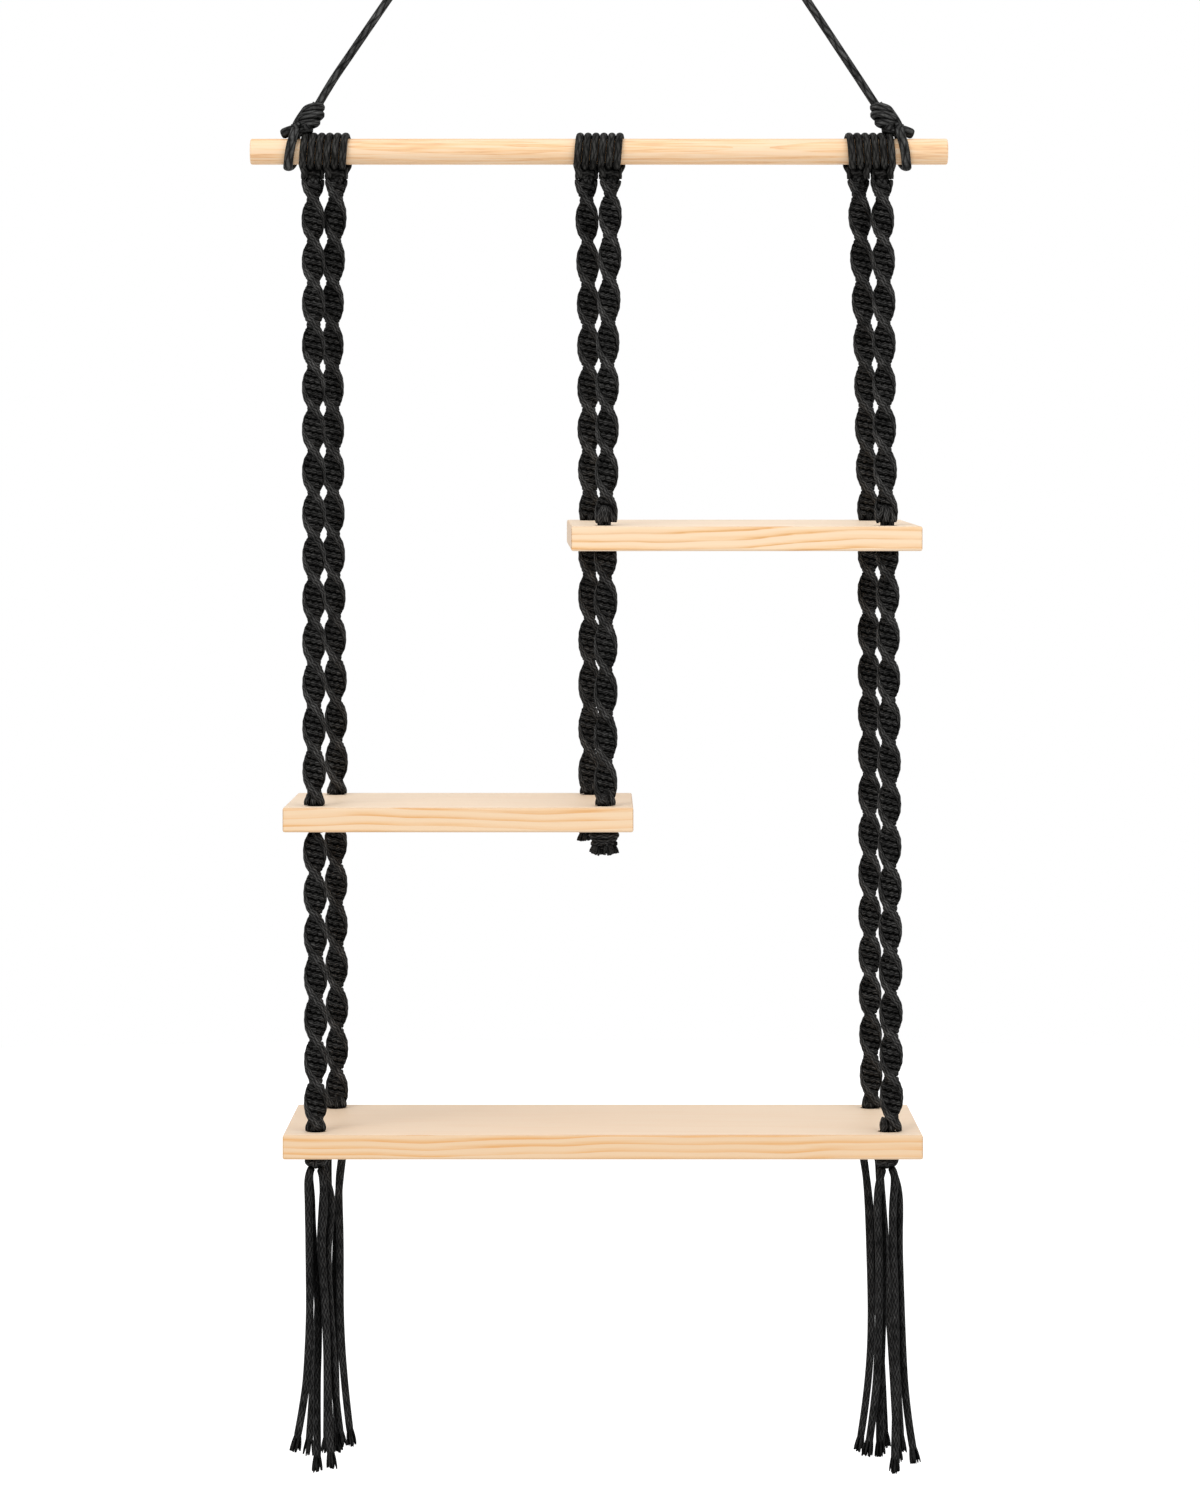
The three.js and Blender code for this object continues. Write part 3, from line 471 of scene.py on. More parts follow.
# %% Tassel routes
STRAND_DIAMETER = 0.0044
STRAND_FULLNESS = 1.07
STRAND_STEPS = 5
TENTHS = 10000
TASSEL_HOLES = {
    "left_front": (-0.1713, -0.054),
    "left_rear": (-0.1656, 0.054),
    "right_front": (0.1745, -0.054),
    "right_rear": (0.1702, 0.054),
}
FIRST_DROPS = {
    "front": (69, 106, 150, 200, 270, 360, 460, 570, 720, 930, 1140, 1350),
    "rear": (69, 106, 150, 200, 270, 360, 460, 600, 760, 930, 1120, 1340),
}
TASSELS = {
    "left_front": [
        ((-26, -39, -45, -45, -43, -42, -40, -39, -37, -36, -43, -56, -76, -100, -127),
         (-26, -39, -44, -44, -40, -35, -32, -30, -30, -30, -30, -32, -34, -36, -38), (1500, 1640, 1780)),
        ((-26, -39, -41, -36, -30, -27, -22, -15, -2, 12, 12, 6, 5, 6, 7),
         (26, 39, 43, 42, 37, 31, 27, 25, 23, 22, 22, 24, 24, 22, 20), (1530, 1720, 1910)),
        ((26, 39, 45, 47, 46, 43, 39, 38, 45, 59, 67, 72, 79, 87, 97),
         (-26, -39, -44, -43, -39, -35, -32, -30, -30, -30, -30, -30, -30, -30, -30), (1530, 1710, 1880)),
        ((26, 39, 57, 76, 89, 88, 80, 71, 72, 84, 97, 109, 122, 138, 156),
         (26, 39, 46, 46, 40, 34, 29, 26, 24, 23, 23, 23, 23, 23, 23), (1490, 1630, 1760)),
    ],
    "left_rear": [
        ((26, 39, 41, 35, 27, 23, 24, 28, 30, 30, 31, 40, 57, 78, 102),
         (-26, -39, -44, -43, -39, -34, -31, -29, -28, -28, -28, -28, -29, -30, -30), (1560, 1760, 1960)),
        ((26, 39, 42, 37, 29, 20, 13, 6, 0, -5, -8, -6, -1, 5, 11),
         (26, 39, 43, 42, 38, 33, 30, 28, 27, 27, 27, 27, 27, 27, 27), (1560, 1790, 2010)),
        ((-26, -39, -44, -45, -45, -44, -45, -47, -50, -53, -54, -53, -52, -53, -55),
         (-26, -39, -44, -43, -39, -35, -32, -30, -29, -29, -29, -29, -29, -29, -29), (1560, 1790, 2010)),
        ((-26, -39, -50, -60, -70, -78, -85, -93, -100, -106, -114, -126, -141, -157, -174),
         (26, 39, 44, 43, 39, 34, 30, 28, 27, 27, 27, 27, 27, 27, 27), (1560, 1800, 2030)),
    ],
    "right_front": [
        ((-26, -39, -50, -58, -62, -60, -56, -52, -50, -51, -57, -67, -82, -101, -123),
         (-26, -39, -44, -44, -40, -35, -32, -30, -30, -30, -30, -32, -34, -36, -38), (1500, 1650, 1800)),
        ((-26, -39, -42, -40, -35, -30, -26, -23, -23, -26, -32, -38, -42, -44, -45),
         (26, 39, 43, 42, 37, 31, 27, 25, 23, 22, 22, 24, 24, 22, 20), (1510, 1670, 1820)),
        ((26, 39, 41, 38, 33, 30, 31, 34, 40, 46, 50, 51, 49, 45, 40),
         (-26, -39, -44, -43, -39, -35, -32, -30, -30, -30, -30, -30, -30, -30, -30), (1540, 1730, 1910)),
        ((26, 39, 54, 67, 75, 76, 74, 74, 78, 85, 93, 104, 120, 143, 172),
         (26, 39, 45, 44, 39, 33, 29, 26, 24, 23, 23, 23, 23, 23, 23), (1520, 1690, 1860)),
    ],
    "right_rear": [
        ((-26, -39, -41, -34, -25, -17, -11, -5, 0, 5, 8, 4, -12, -40, -73),
         (-26, -39, -44, -43, -39, -34, -31, -29, -28, -28, -28, -28, -29, -30, -30), (1560, 1790, 2000)),
        ((-26, -39, -40, -33, -22, -10, 1, 14, 28, 42, 56, 69, 80, 90, 100),
         (26, 39, 44, 43, 39, 34, 30, 28, 27, 27, 27, 27, 27, 27, 27), (1560, 1780, 1990)),
        ((26, 39, 48, 54, 58, 63, 70, 80, 92, 105, 119, 134, 148, 161, 172),
         (-26, -39, -44, -43, -39, -35, -32, -30, -29, -29, -29, -29, -29, -29, -29), (1570, 1820, 2070)),
        ((26, 39, 51, 60, 68, 75, 83, 94, 107, 122, 138, 156, 173, 188, 202),
         (26, 39, 44, 43, 39, 34, 30, 28, 27, 27, 27, 27, 27, 27, 27), (1570, 1790, 2010)),
    ],
}


def tassel_route(tassel, across, forth, last_drops):
    """One cord's points in metres, under its hole in the lowest board."""
    hole_x, hole_y = TASSEL_HOLES[tassel]
    drops = np.array([*FIRST_DROPS[tassel.split("_")[1]], *last_drops])
    route = np.stack([across, forth, -drops], axis=1) / TENTHS
    return route + (hole_x, hole_y, foot("lower_shelf"))


# %% Combed cord ends
CLUMPS = 6
CLUMP_WANDER = 0.25
CLUMP_REACH = (0.88, 1.12)
OUTER_YARNS = 12
OUTER_SPREAD = (0.82, 1.0)
INNER_SPREAD = (0.1, 0.55)
INNER_REACH = 1.04
YARN_WANDER = 0.3
YARN_SHARES = (0.0, 0.25, 0.5, 0.78, 1.0)
YARN_WIDTHS = np.array([0.9, 1.0, 1.1, 1.0, 0.55])
YARN_ROOT = 0.45
YARN_FLARE = 0.8
YARN_GATHER = 0.1
YARN_SIDES = 5
YARN_ASIDE = (0.3, 1.0, 0.1)
STRAND_YARNS = 18
STRAND_YARN_HALF = 0.00062


def brush(start, way, length, radius, dice, yarns=STRAND_YARNS, yarn_half=STRAND_YARN_HALF):
    """Loose yarns that spread from a cord's end, in a few clumps of unequal length."""
    way = unit(np.array(way, float))
    side = unit(np.cross(way, YARN_ASIDE))
    other = np.cross(way, side)
    clumps = []
    for i in range(CLUMPS):
        angle = 2 * math.pi * (i + dice.uniform(-CLUMP_WANDER, CLUMP_WANDER)) / CLUMPS
        clumps.append((angle, dice.uniform(*CLUMP_REACH)))
    root = YARN_ROOT * radius
    tubes = []
    for i in range(yarns):
        is_outer = i < OUTER_YARNS
        angle, reach = clumps[i % CLUMPS]
        reach = reach if is_outer else max(reach, INNER_REACH)
        angle += dice.uniform(-YARN_WANDER, YARN_WANDER)
        spread = radius * dice.uniform(*(OUTER_SPREAD if is_outer else INNER_SPREAD))
        out = side * math.cos(angle) + other * math.sin(angle)
        path = []
        for share in YARN_SHARES:
            flare = root + (spread - root) * share ** YARN_FLARE
            flare = min(flare, spread + (1 - share) * radius * YARN_GATHER)
            path.append(start + way * length * reach * share + out * flare)
        tubes.append(tube(path, yarn_half * YARN_WIDTHS, sides=YARN_SIDES))
    return tubes


# %% Tassel cords
BRUSH_LENGTH = 0.0105
BRUSH_RADIUS = 0.0034
CORD_IN_BRUSH = 0.72
LAST_RING = 0.75


def point_at(path, run):
    """The point on a path at a distance run from its start."""
    return np.array([np.interp(run, runs_along(path), path[:, axis]) for axis in range(3)])


def strand(tassel, number, row, dice):
    """One tassel cord: the round cord, and the combed yarns at its end."""
    path = tassel_route(tassel, *row)
    fine = smooth(path, STRAND_STEPS)
    whole = length_of(fine)
    cord_end = point_at(fine, whole - CORD_IN_BRUSH * BRUSH_LENGTH)
    comb = point_at(fine, whole - BRUSH_LENGTH)
    body = np.vstack([fine[runs_along(fine) < whole - LAST_RING * BRUSH_LENGTH], cord_end])
    tubes = [tube(*rounded(body, STRAND_DIAMETER / 2 * STRAND_FULLNESS), sides=FINE_SIDES)]
    tubes += brush(comb, fine[-1] - comb, BRUSH_LENGTH, BRUSH_RADIUS, dice)
    return piece(f"{tassel}_strand_{number}", tubes, shaded_tassel_cord), path


dice = random.Random(7)
for tassel, rows in TASSELS.items():
    for number, row in enumerate(rows, 1):
        strand(tassel, number, row, dice)

# %% [markdown]
# ## The sling's loop and knots
# The knots are the same cord, wound round itself. One helper makes a turn of cord on an oval: it takes
# the oval's middle, the directions of its two half axes, and a small climb, so that neighbouring turns
# lie like a wound knot and not like stacked rings. Another makes a short coil round a line.

# %% Turns of cord
TURN_POINTS = 29
COIL_POINTS = 28
COIL_THINNESS = 0.85


def turn(
    center, first, second, half, thin=1.0, climb=(0, 0, 0), start=0, end=360, sides=FINE_SIDES, lid=None,
):
    """One turn of cord on an oval with half axes first and second, from start to end in degrees."""
    center = np.array(center, float)
    first = np.array(first, float)
    second = np.array(second, float)
    angle = np.radians(np.linspace(start, end, TURN_POINTS))[:, None]
    share = (angle / (2 * math.pi)) - 0.5
    path = center + np.cos(angle) * first + np.sin(angle) * second + share * np.array(climb)
    if lid is not None:
        path[:, 2] = np.minimum(path[:, 2], lid)
    outward = unit(path - center)
    return tube(path, half, half * thin, outward, sides)


def coil(center, way, radii, half, pitch, turns):
    """A short coil of cord round a line, wider where radii is larger."""
    front = unit(np.cross(way, np.cross(TO_FRONT, way)))
    other = np.cross(way, front)
    share = np.linspace(0, 1, COIL_POINTS * turns + 1)
    angle = 2 * math.pi * turns * share
    radius = np.interp(share, np.linspace(0, 1, len(radii)), radii)[:, None]
    out = np.cos(angle)[:, None] * front + np.sin(angle)[:, None] * other
    along = ((share - 0.5) * turns * pitch)[:, None]
    path = np.array(center) + out * radius + way * along
    return tube(path, half, half * COIL_THINNESS, out, FINE_SIDES)


# %% The loop over the hook
LOOP_Z = -0.007
LOOP_RADIUS = 0.0097
LOOP_SIDES = 16
LOOP_KNOT_Z = -0.021
LOOP_KNOT_SHIFT = 0.0028
LOOP_KNOT_LEAN = 0.5
LOOP_KNOT_RADII = (0.003, 0.0042, 0.003)
LOOP_KNOT_PITCH = 0.0052
LOOP_KNOT_TURNS = 2
BINDING_HALF_AXES = ((0.0072, 0, 0.001), (0, 0.0042, 0))
BINDING_CLIMB = (0, 0, 0.003)


def top_loop():
    tubes = [turn((0, 0, LOOP_Z), (0, 0, LOOP_RADIUS), (LOOP_RADIUS, 0, 0), SLING_HALF, sides=LOOP_SIDES)]
    for side in (-1, 1):
        way = unit(np.array((side * LOOP_KNOT_LEAN, 0, 1)))
        center = (side * LOOP_KNOT_SHIFT, 0, LOOP_KNOT_Z)
        wound = coil(center, way, LOOP_KNOT_RADII, SLING_HALF, LOOP_KNOT_PITCH, LOOP_KNOT_TURNS)
        tubes.append(wound)
    tubes.append(turn((0, 0, LOOP_KNOT_Z), *BINDING_HALF_AXES, SLING_HALF, climb=BINDING_CLIMB))
    return piece("sling_top_loop", tubes, sling_cord)


loop = top_loop()
print("loop over the hook:", len(loop.data.vertices), "corners")

# %% The sling round the dowel
HITCH_X = 0.1905
HITCH_HALF = (0.0031, 0.0018)
HITCH_GAP = 0.0003
HITCH_START = 25
HITCH_SWEEP = 230
HITCH_POINTS = 47
HITCH_WANDER = (-0.0012, 0.0004, 0.0012, -0.0013, -0.0016)
HITCH_TOP = 0.014
HITCH_LEAN = 0.0025
HITCH_INWARD = 0.0046
HITCH_SIDES = 14
HITCH_LOBES = 0.04
HITCH_STEPS = 6
RIGHT_KNOT_SHIFT = 0.0020


def on_side(side, place, depth=0.0):
    """A point near one end of the dowel, from its distance out and its height over the dowel."""
    shift = RIGHT_KNOT_SHIFT if side > 0 else 0
    return np.array((side * place[0] - shift, depth, dowel_z + place[1]))


def from_dowel(path):
    """The way straight out from the dowel at each point."""
    return unit(path - path * (1, 0, 0) - (0, 0, dowel_z))


def hitch(name, side):
    """The loop round the dowel, up the front and up the back into the knot."""
    wide, thin = HITCH_HALF
    radius = dowel_radius + HITCH_GAP + thin
    share = np.linspace(0, 1, HITCH_POINTS)
    angle = np.radians(HITCH_START - HITCH_SWEEP * share)
    ring = np.stack([
        on_side(side, (HITCH_X, 0))[0] + side * eased(HITCH_WANDER, share),
        -radius * np.cos(angle),
        dowel_z + radius * np.sin(angle),
    ], axis=1)
    top_z = dowel_z + HITCH_TOP
    up_front = (ring[0][0] - side * HITCH_LEAN, ring[0][1] + HITCH_INWARD, top_z)
    up_back = (ring[-1][0] - side * HITCH_LEAN, ring[-1][1] - HITCH_INWARD, top_z)
    front = smooth([up_front, ring[0]], HITCH_STEPS)
    back = smooth([ring[-1], up_back], HITCH_STEPS)
    path = np.vstack([front[:-1], ring, back[1:]])
    return piece(name, [tube(path, wide, thin, from_dowel(path), HITCH_SIDES, HITCH_LOBES)], sling_cord)


# %% The sling's knots
KNOT_CORE = [(0.1845, 0.0128), (0.1790, 0.0210), (0.1735, 0.0290)]
KNOT_CORE_SWELL = 1.3
KNOT_SIDES = 12
EDGE_CORD = [(0.1876, 0.0148), (0.1846, 0.0202), (0.1800, 0.0268)]
EDGE_DEPTH = 0.0004
KNOT_TURNS = [
    ((0.1764, 0.0262), (0.0050, -0.0012), (0.0042, 0.0010)),
    ((0.1776, 0.0215), (0.0060, -0.0014), (0.0049, 0.0012)),
    ((0.1794, 0.0170), (0.0052, -0.0012), (0.0043, 0.0006)),
    ((0.1822, 0.0128), (0.0036, -0.0006), (0.0036, 0.0004)),
]
CROSSING = (0.1848, 0.0149)
CROSSING_SHIFTS = (-0.0044, 0.0012)
CROSSING_DEPTH = 0.0056
CROSSING_SLANT = 0.0012
CROSSING_CLIMB = 0.002
TURN_TIGHTNESS = (0.97, 0.92)
CROSSING_TIGHTNESS = (0.9, 0.7)
BRIDGE_TIGHTNESS = 0.95
BRIDGE_REACH = (0.006, 0.005)
BRIDGE_LIFTS = (0.001, -0.0004)
KNOT_STEPS = 6
BRIDGE_STEPS = 5
CUT_STEPS = 8
CUT_END = [(0.1858, 0.0142), (0.1915, 0.0124), (0.1962, 0.0105)]
CUT_END_SWELL = 1.22


def sling_knot(name, side):
    """The knot on the leg's foot, the crossing next to it, and the cut end."""
    core = smooth([on_side(side, place) for place in KNOT_CORE], KNOT_STEPS)
    edge = smooth([on_side(side, place, EDGE_DEPTH) for place in EDGE_CORD], KNOT_STEPS)
    tubes = [
        tube(core, SLING_HALF * KNOT_CORE_SWELL, sides=KNOT_SIDES),
        tube(*rounded(edge, SLING_HALF), sides=KNOT_SIDES),
    ]
    wide, thin = TURN_TIGHTNESS
    for center, along, deep in KNOT_TURNS:
        first = (side * along[0], 0, along[1])
        second = (0, -deep[0], deep[1])
        tubes.append(turn(on_side(side, center), first, second, SLING_HALF * wide, thin, start=-90, end=270))
    crossing = on_side(side, CROSSING)
    wide, thin = CROSSING_TIGHTNESS
    for shift in CROSSING_SHIFTS:
        tubes.append(turn(
            crossing + (side * shift, 0, 0), (0, -CROSSING_DEPTH, 0),
            (side * CROSSING_SLANT, 0, CROSSING_SLANT), SLING_HALF * wide, thin,
            (side * CROSSING_CLIMB, 0, 0),
        ))
    inner, outer = BRIDGE_REACH
    rise, fall = BRIDGE_LIFTS
    bridge = [crossing + (-side * inner, 0, rise), crossing, crossing + (side * outer, 0, fall)]
    tubes.append(tube(smooth(bridge, BRIDGE_STEPS), SLING_HALF * BRIDGE_TIGHTNESS, sides=KNOT_SIDES))
    cut = smooth([on_side(side, place) for place in CUT_END], CUT_STEPS)
    tubes.append(tube(*rounded(cut, SLING_HALF * CUT_END_SWELL), sides=KNOT_SIDES))
    return piece(name, tubes, sling_cord)


hitch("left_sling_hitch", -1)
hitch("right_sling_hitch", 1)
sling_knot("left_sling_knot", -1)
sling_knot("right_sling_knot", 1)
print("sling pieces made")

# %% [markdown]
# ## The loose cords
# The legs are free from the knots at the dowel to the loop at the hook. The tassel cords are free from
# their knot to their cut end.

# %% [markdown]
# ## Half knots
# A macrame spiral repeats one half knot: the left working cord goes over the core to the right, the
# right one goes behind it to the left, and both pull tight. Seen from above, the two working cords run
# round a flat oval, half a turn for each knot. They lie level across the front and back and drop at
# the sides, which a wave in the depth gives. Where they drop, they pack into a smooth rim along each
# edge of the band. The knots always start on the same side, so each one turns the band about thirty
# degrees: the oval turns with depth, and that is the spiral. The turning is not quite even. The band
# lingers with its broad side to the front and passes quickly where it stands edgeways, which makes the
# lobes full and the narrow places short.

# %% The turning band
HALF_TURN = 0.0259
TAPER = 0.006
GATHERED = 0.92
LINGER = 0.10


def on_band(places, depth, out, forth, start, twist):
    """Points of a turning band: out towards its edge and forth from its face, at each depth."""
    top_point, bottom_point, sway = places
    share = np.clip(depth / (top_point[2] - bottom_point[2]), 0, 1)[:, None]
    even = start + twist * depth
    turned = even - LINGER * np.sin(2 * even)
    edgeways = np.stack([np.cos(turned), np.sin(turned), 0 * turned], axis=1)
    faceways = np.stack([-np.sin(turned), np.cos(turned), 0 * turned], axis=1)
    center = top_point + (bottom_point - top_point) * share
    center[:, 0] += eased(sway, share[:, 0])
    sideways = edgeways * out[:, None] + faceways * forth[:, None]
    return center + sideways, unit(sideways), edgeways, faceways


def gather(depth, drop, boards):
    """How much of its width a band keeps, where boards says how many of its ends meet a board."""
    if boards == 0:
        return np.ones(len(depth))
    room = (drop - depth) / TAPER
    if boards == 2:
        room = np.minimum(room, depth / TAPER)
    return GATHERED + (1 - GATHERED) * np.clip(room, 0, 1)


# %% Half knots
KNOTS_PER_HALF_TURN = 6
KNOT_RUN = HALF_TURN / KNOTS_PER_HALF_TURN
KNOT_POINTS = 10
REACH = 0.0050
RISE = 0.0022
SIDE_DROP = 0.85
ACROSS_POWER = 0.8
THROUGH_POWER = 0.7
BUMPS = {"rise": 0.26, "width": 0.2}
LOOSENESS = {"reach": 0.05, "rise": 0.16, "width": 0.1}
BAR_WIDTH = 0.00185
BAR_THICKNESS = 0.0012
RIM_REACH = 0.0059
RIM_OUT = 0.0013
RIM_ACROSS = 0.0023
RIM_BULGE = 0.07
RIM_POINTS = 4
END_MARGIN = 0.0003
CORE_HALF = (0.0048, 0.0015)
CORE_LEAD = 0.0009


def pulled(wave, power):
    """A wave with fuller crests, as in a cord that is pulled round a corner."""
    return np.sign(wave) * np.abs(wave) ** power


def half_knots(top_point, bottom_point, start, twist, boards, dice, sway=(0, 0)):
    """The working cords, rims and core of one band, and its number of half knots."""
    places = (np.array(top_point, float), np.array(bottom_point, float), sway)
    drop = places[0][2] - places[1][2]
    knots = max(1, round((drop - 2 * BAR_WIDTH) / KNOT_RUN))
    run = (drop - 2 * BAR_WIDTH) / knots
    q = np.linspace(0, knots, knots * KNOT_POINTS + 1)
    loose = np.interp(q, np.arange(knots + 1), [dice.uniform(-1, 1) for _ in range(knots + 1)])
    tubes = []
    for worker in (0, 1):
        phase = math.pi * (q + worker)
        depth = BAR_WIDTH + run * (q + SIDE_DROP * np.sin(2 * phase) / (2 * math.pi))
        across = pulled(np.cos(phase), ACROSS_POWER)
        through = pulled(np.sin(phase), THROUGH_POWER)
        bumps = np.cos(3 * math.pi * across)
        out = -REACH * gather(depth, drop, boards) * across * (1 + LOOSENESS["reach"] * loose)
        forth = -RISE * through * (1 + BUMPS["rise"] * bumps + LOOSENESS["rise"] * loose)
        path, outward, _, _ = on_band(places, depth, out, forth, start, twist)
        plump = 1 + BUMPS["width"] * bumps + LOOSENESS["width"] * loose
        tubes.append(tube(path, BAR_WIDTH * plump, BAR_THICKNESS * plump, outward))
    depth = np.linspace(END_MARGIN, drop - END_MARGIN, knots * RIM_POINTS + 1)
    keep = gather(depth, drop, boards)
    bulge = 1 + RIM_BULGE * np.cos(2 * math.pi * (depth - BAR_WIDTH) / run)
    for edge in (-1, 1):
        path, _, edgeways, _ = on_band(places, depth, edge * RIM_REACH * keep, 0 * depth, start, twist)
        tubes.append(tube(path, RIM_ACROSS * bulge, RIM_OUT * bulge, edge * edgeways, FINE_SIDES))
    depth = np.append(-CORE_LEAD, depth)
    path, _, _, faceways = on_band(places, depth, 0 * depth, 0 * depth, start, twist)
    path[0][2] += CORE_LEAD
    tubes.append(tube(path, CORE_HALF[0] * np.append(keep[0], keep), CORE_HALF[1], faceways, FINE_SIDES))
    return tubes, knots


# %% [markdown]
# ## Turns round the dowel
# Each rope begins with its cord wound nearly three times round the dowel. Both ends come down together
# and become the rope's working cords, and the first half knots sit close under the dowel. The right pair
# is wound the other way round, so its turns run on towards the middle.

# %% Ends of a winding
WINDING_FOOT = -0.33154
LEAVE = math.radians(60)
LEAVE_RADIUS = 0.004
LEAVE_STEPS = 7
LEAVE_SHARE = 0.7
LEAVE_CURVE = 1.5
LAST_PLACES = ((0.85, 0.0002, 0.0036), (0.95, 0.0009, 0.0016), (1.0, 0.0015, 0.0002))


def winding_end(point, depthwise, foot_x):
    """From where the cord leaves the dowel, round and in to its place at the rope's edge."""
    aside = foot_x - point[0]
    path = []
    for step in range(1, LEAVE_STEPS + 1):
        turned = LEAVE * (1 - step / LEAVE_STEPS)
        path.append((
            point[0] + aside * LEAVE_SHARE * (step / LEAVE_STEPS) ** LEAVE_CURVE,
            point[1] - depthwise * LEAVE_RADIUS * (math.cos(turned) - math.cos(LEAVE)),
            point[2] - LEAVE_RADIUS * (math.sin(LEAVE) - math.sin(turned)),
        ))
    last_y = path[-1][1]
    for share, inward, lift in LAST_PLACES:
        path.append((point[0] + aside * share, last_y - depthwise * inward, WINDING_FOOT + lift))
    return path


# %% Windings
WINDING_WIDTH = 0.0044
WINDING_THICKNESS = 0.0036
WINDING_FULLNESS = 1.05
WINDING_GAP = 0.00025
WINDING_PITCH = 0.0049
WINDING_SHIFT = 0.0010
WINDING_POINTS = 145
WINDING_SIDES = 12
SLIM_ENDS = (0.55, 0.85, 0.97)
FOOT_REACH = 0.0045
LAST_ADVANCE = 0.93
COLLAR_TOP = -0.3238
FIRST_NARROW = 0.0114
ROPE_START = math.pi / 2 - math.pi * FIRST_NARROW / HALF_TURN
ROPE_X = {
    "left_front": -0.17675, "left_rear": -0.16205, "middle_front": 0.00705,
    "middle_rear": -0.00765, "right_front": 0.17475, "right_rear": 0.16005,
}


def winding(name, x, hand, dice):
    """The cord wound on the dowel, its two ends, and the first half knots under it."""
    radius = dowel_radius + WINDING_GAP + WINDING_THICKNESS / 2
    # Two turns and a half, and a little more at each end.
    whole = 4 * math.pi + math.pi + 2 * LEAVE
    share = np.linspace(0, 1, WINDING_POINTS)
    angle = -LEAVE + share * whole
    half_span = WINDING_PITCH * whole / (4 * math.pi)
    helix = np.stack([
        x + hand * (WINDING_SHIFT - half_span + np.minimum(share, LAST_ADVANCE) * 2 * half_span),
        -radius * np.cos(angle),
        dowel_z + radius * np.sin(angle),
    ], axis=1)
    head = winding_end(helix[0], -1, x - hand * FOOT_REACH)[::-1]
    path = np.vstack([head, helix, winding_end(helix[-1], 1, x + hand * FOOT_REACH)])
    outward = from_dowel(path)
    outward[:len(head)] = outward[len(head)]
    outward[-len(head):] = outward[-len(head) - 1]
    slim = np.ones(len(path))
    slim[:3] = slim[:-4:-1] = SLIM_ENDS
    wide = WINDING_WIDTH / 2 * WINDING_FULLNESS * slim
    tubes = [tube(path, wide, WINDING_THICKNESS / 2 * slim, outward, WINDING_SIDES)]
    twist = ROPE_START / (COLLAR_TOP - WINDING_FOOT)
    collar, _ = half_knots((x, 0, COLLAR_TOP), (x, 0, WINDING_FOOT), 0.0, twist, 0, dice)
    return piece(name, tubes + collar, shaded_wound_cord)


for name, x in ROPE_X.items():
    hand = -1 if name.startswith("right") else 1
    winding(f"{name}_winding", x, hand, dice)
print("windings:", len(ROPE_X))

# %% [markdown]
# ## Ropes through the boards
# Each rope is made in two lengths, over and under the first board that it passes. At a board the outer
# cords spread a little over the wood round the hole, and four gathered cords go down through it. The
# next length starts close under the board. The skirt of outer cords stops just short of the wood, so
# that the rope can sway a little on its board.

# %% Gathered cords
SKIRT_CORDS = 6
SKIRT_TURN = 0.15
SKIRT_GAP = 0.0007
SKIRT_REACH = (0.0048, 0.0037)
SKIRT_PLACES = ((0.25, 0.0100), (0.65, 0.0056), (1.0, 0.0022), (1.0, 0))
SKIRT_HALF = 0.0019
SKIRT_TOP = (0.5, 0.85)
GATHER_STEPS = 4
NECK_CORDS = 4
NECK_TURN = 0.25
NECK_TWIST = 0.18
NECK_HALF = 0.0021
NECK_RADII = (0.0014, 0.0027, 0.00285)
NECK_DROPS = (0.004, 0.009)


def skirt(x, y, board_top):
    """Cords that spread over the board round a hole, before they gather into it."""
    tubes = []
    on_board = np.array((x, y, board_top + SKIRT_GAP))
    for i in range(SKIRT_CORDS):
        angle = math.pi * (SKIRT_TURN + i / 3)
        out = np.array((SKIRT_REACH[0] * math.cos(angle), SKIRT_REACH[1] * math.sin(angle), 0))
        places = [on_board + out * share + (0, 0, lift) for share, lift in SKIRT_PLACES]
        path = smooth(places, GATHER_STEPS)
        plump = np.full(len(path), SKIRT_HALF)
        plump[:2] *= SKIRT_TOP
        tubes.append(tube(path, plump))
    return tubes


def neck(x, y, top_z, foot_z):
    """Four gathered cords that go on through a board's hole."""
    top_radius, middle_radius, hole_radius = NECK_RADII
    tubes = []
    for i in range(NECK_CORDS):
        angle = math.pi * (NECK_TURN + 0.5 * i)
        lean = math.pi * (NECK_TURN + 0.5 * i + NECK_TWIST)
        path = []
        for radius, around, z in (
            (top_radius, lean, top_z),
            (middle_radius, lean, top_z - NECK_DROPS[0]),
            (hole_radius, angle, top_z - NECK_DROPS[1]),
            (hole_radius, angle, foot_z),
        ):
            path.append((x + radius * math.cos(around), y + radius * math.sin(around), z))
        tubes.append(tube(smooth(path, GATHER_STEPS), NECK_HALF))
    return tubes


# %% [markdown]
# ## The six ropes
# No two ropes are tied quite alike. For each of its two lengths, SPIRALS tells how far below the top the
# first narrow place lies, and how long a half turn is. SWAYS tells how far that length bows aside, at
# even steps from its top to its foot. Both are in tenths of a millimetre.

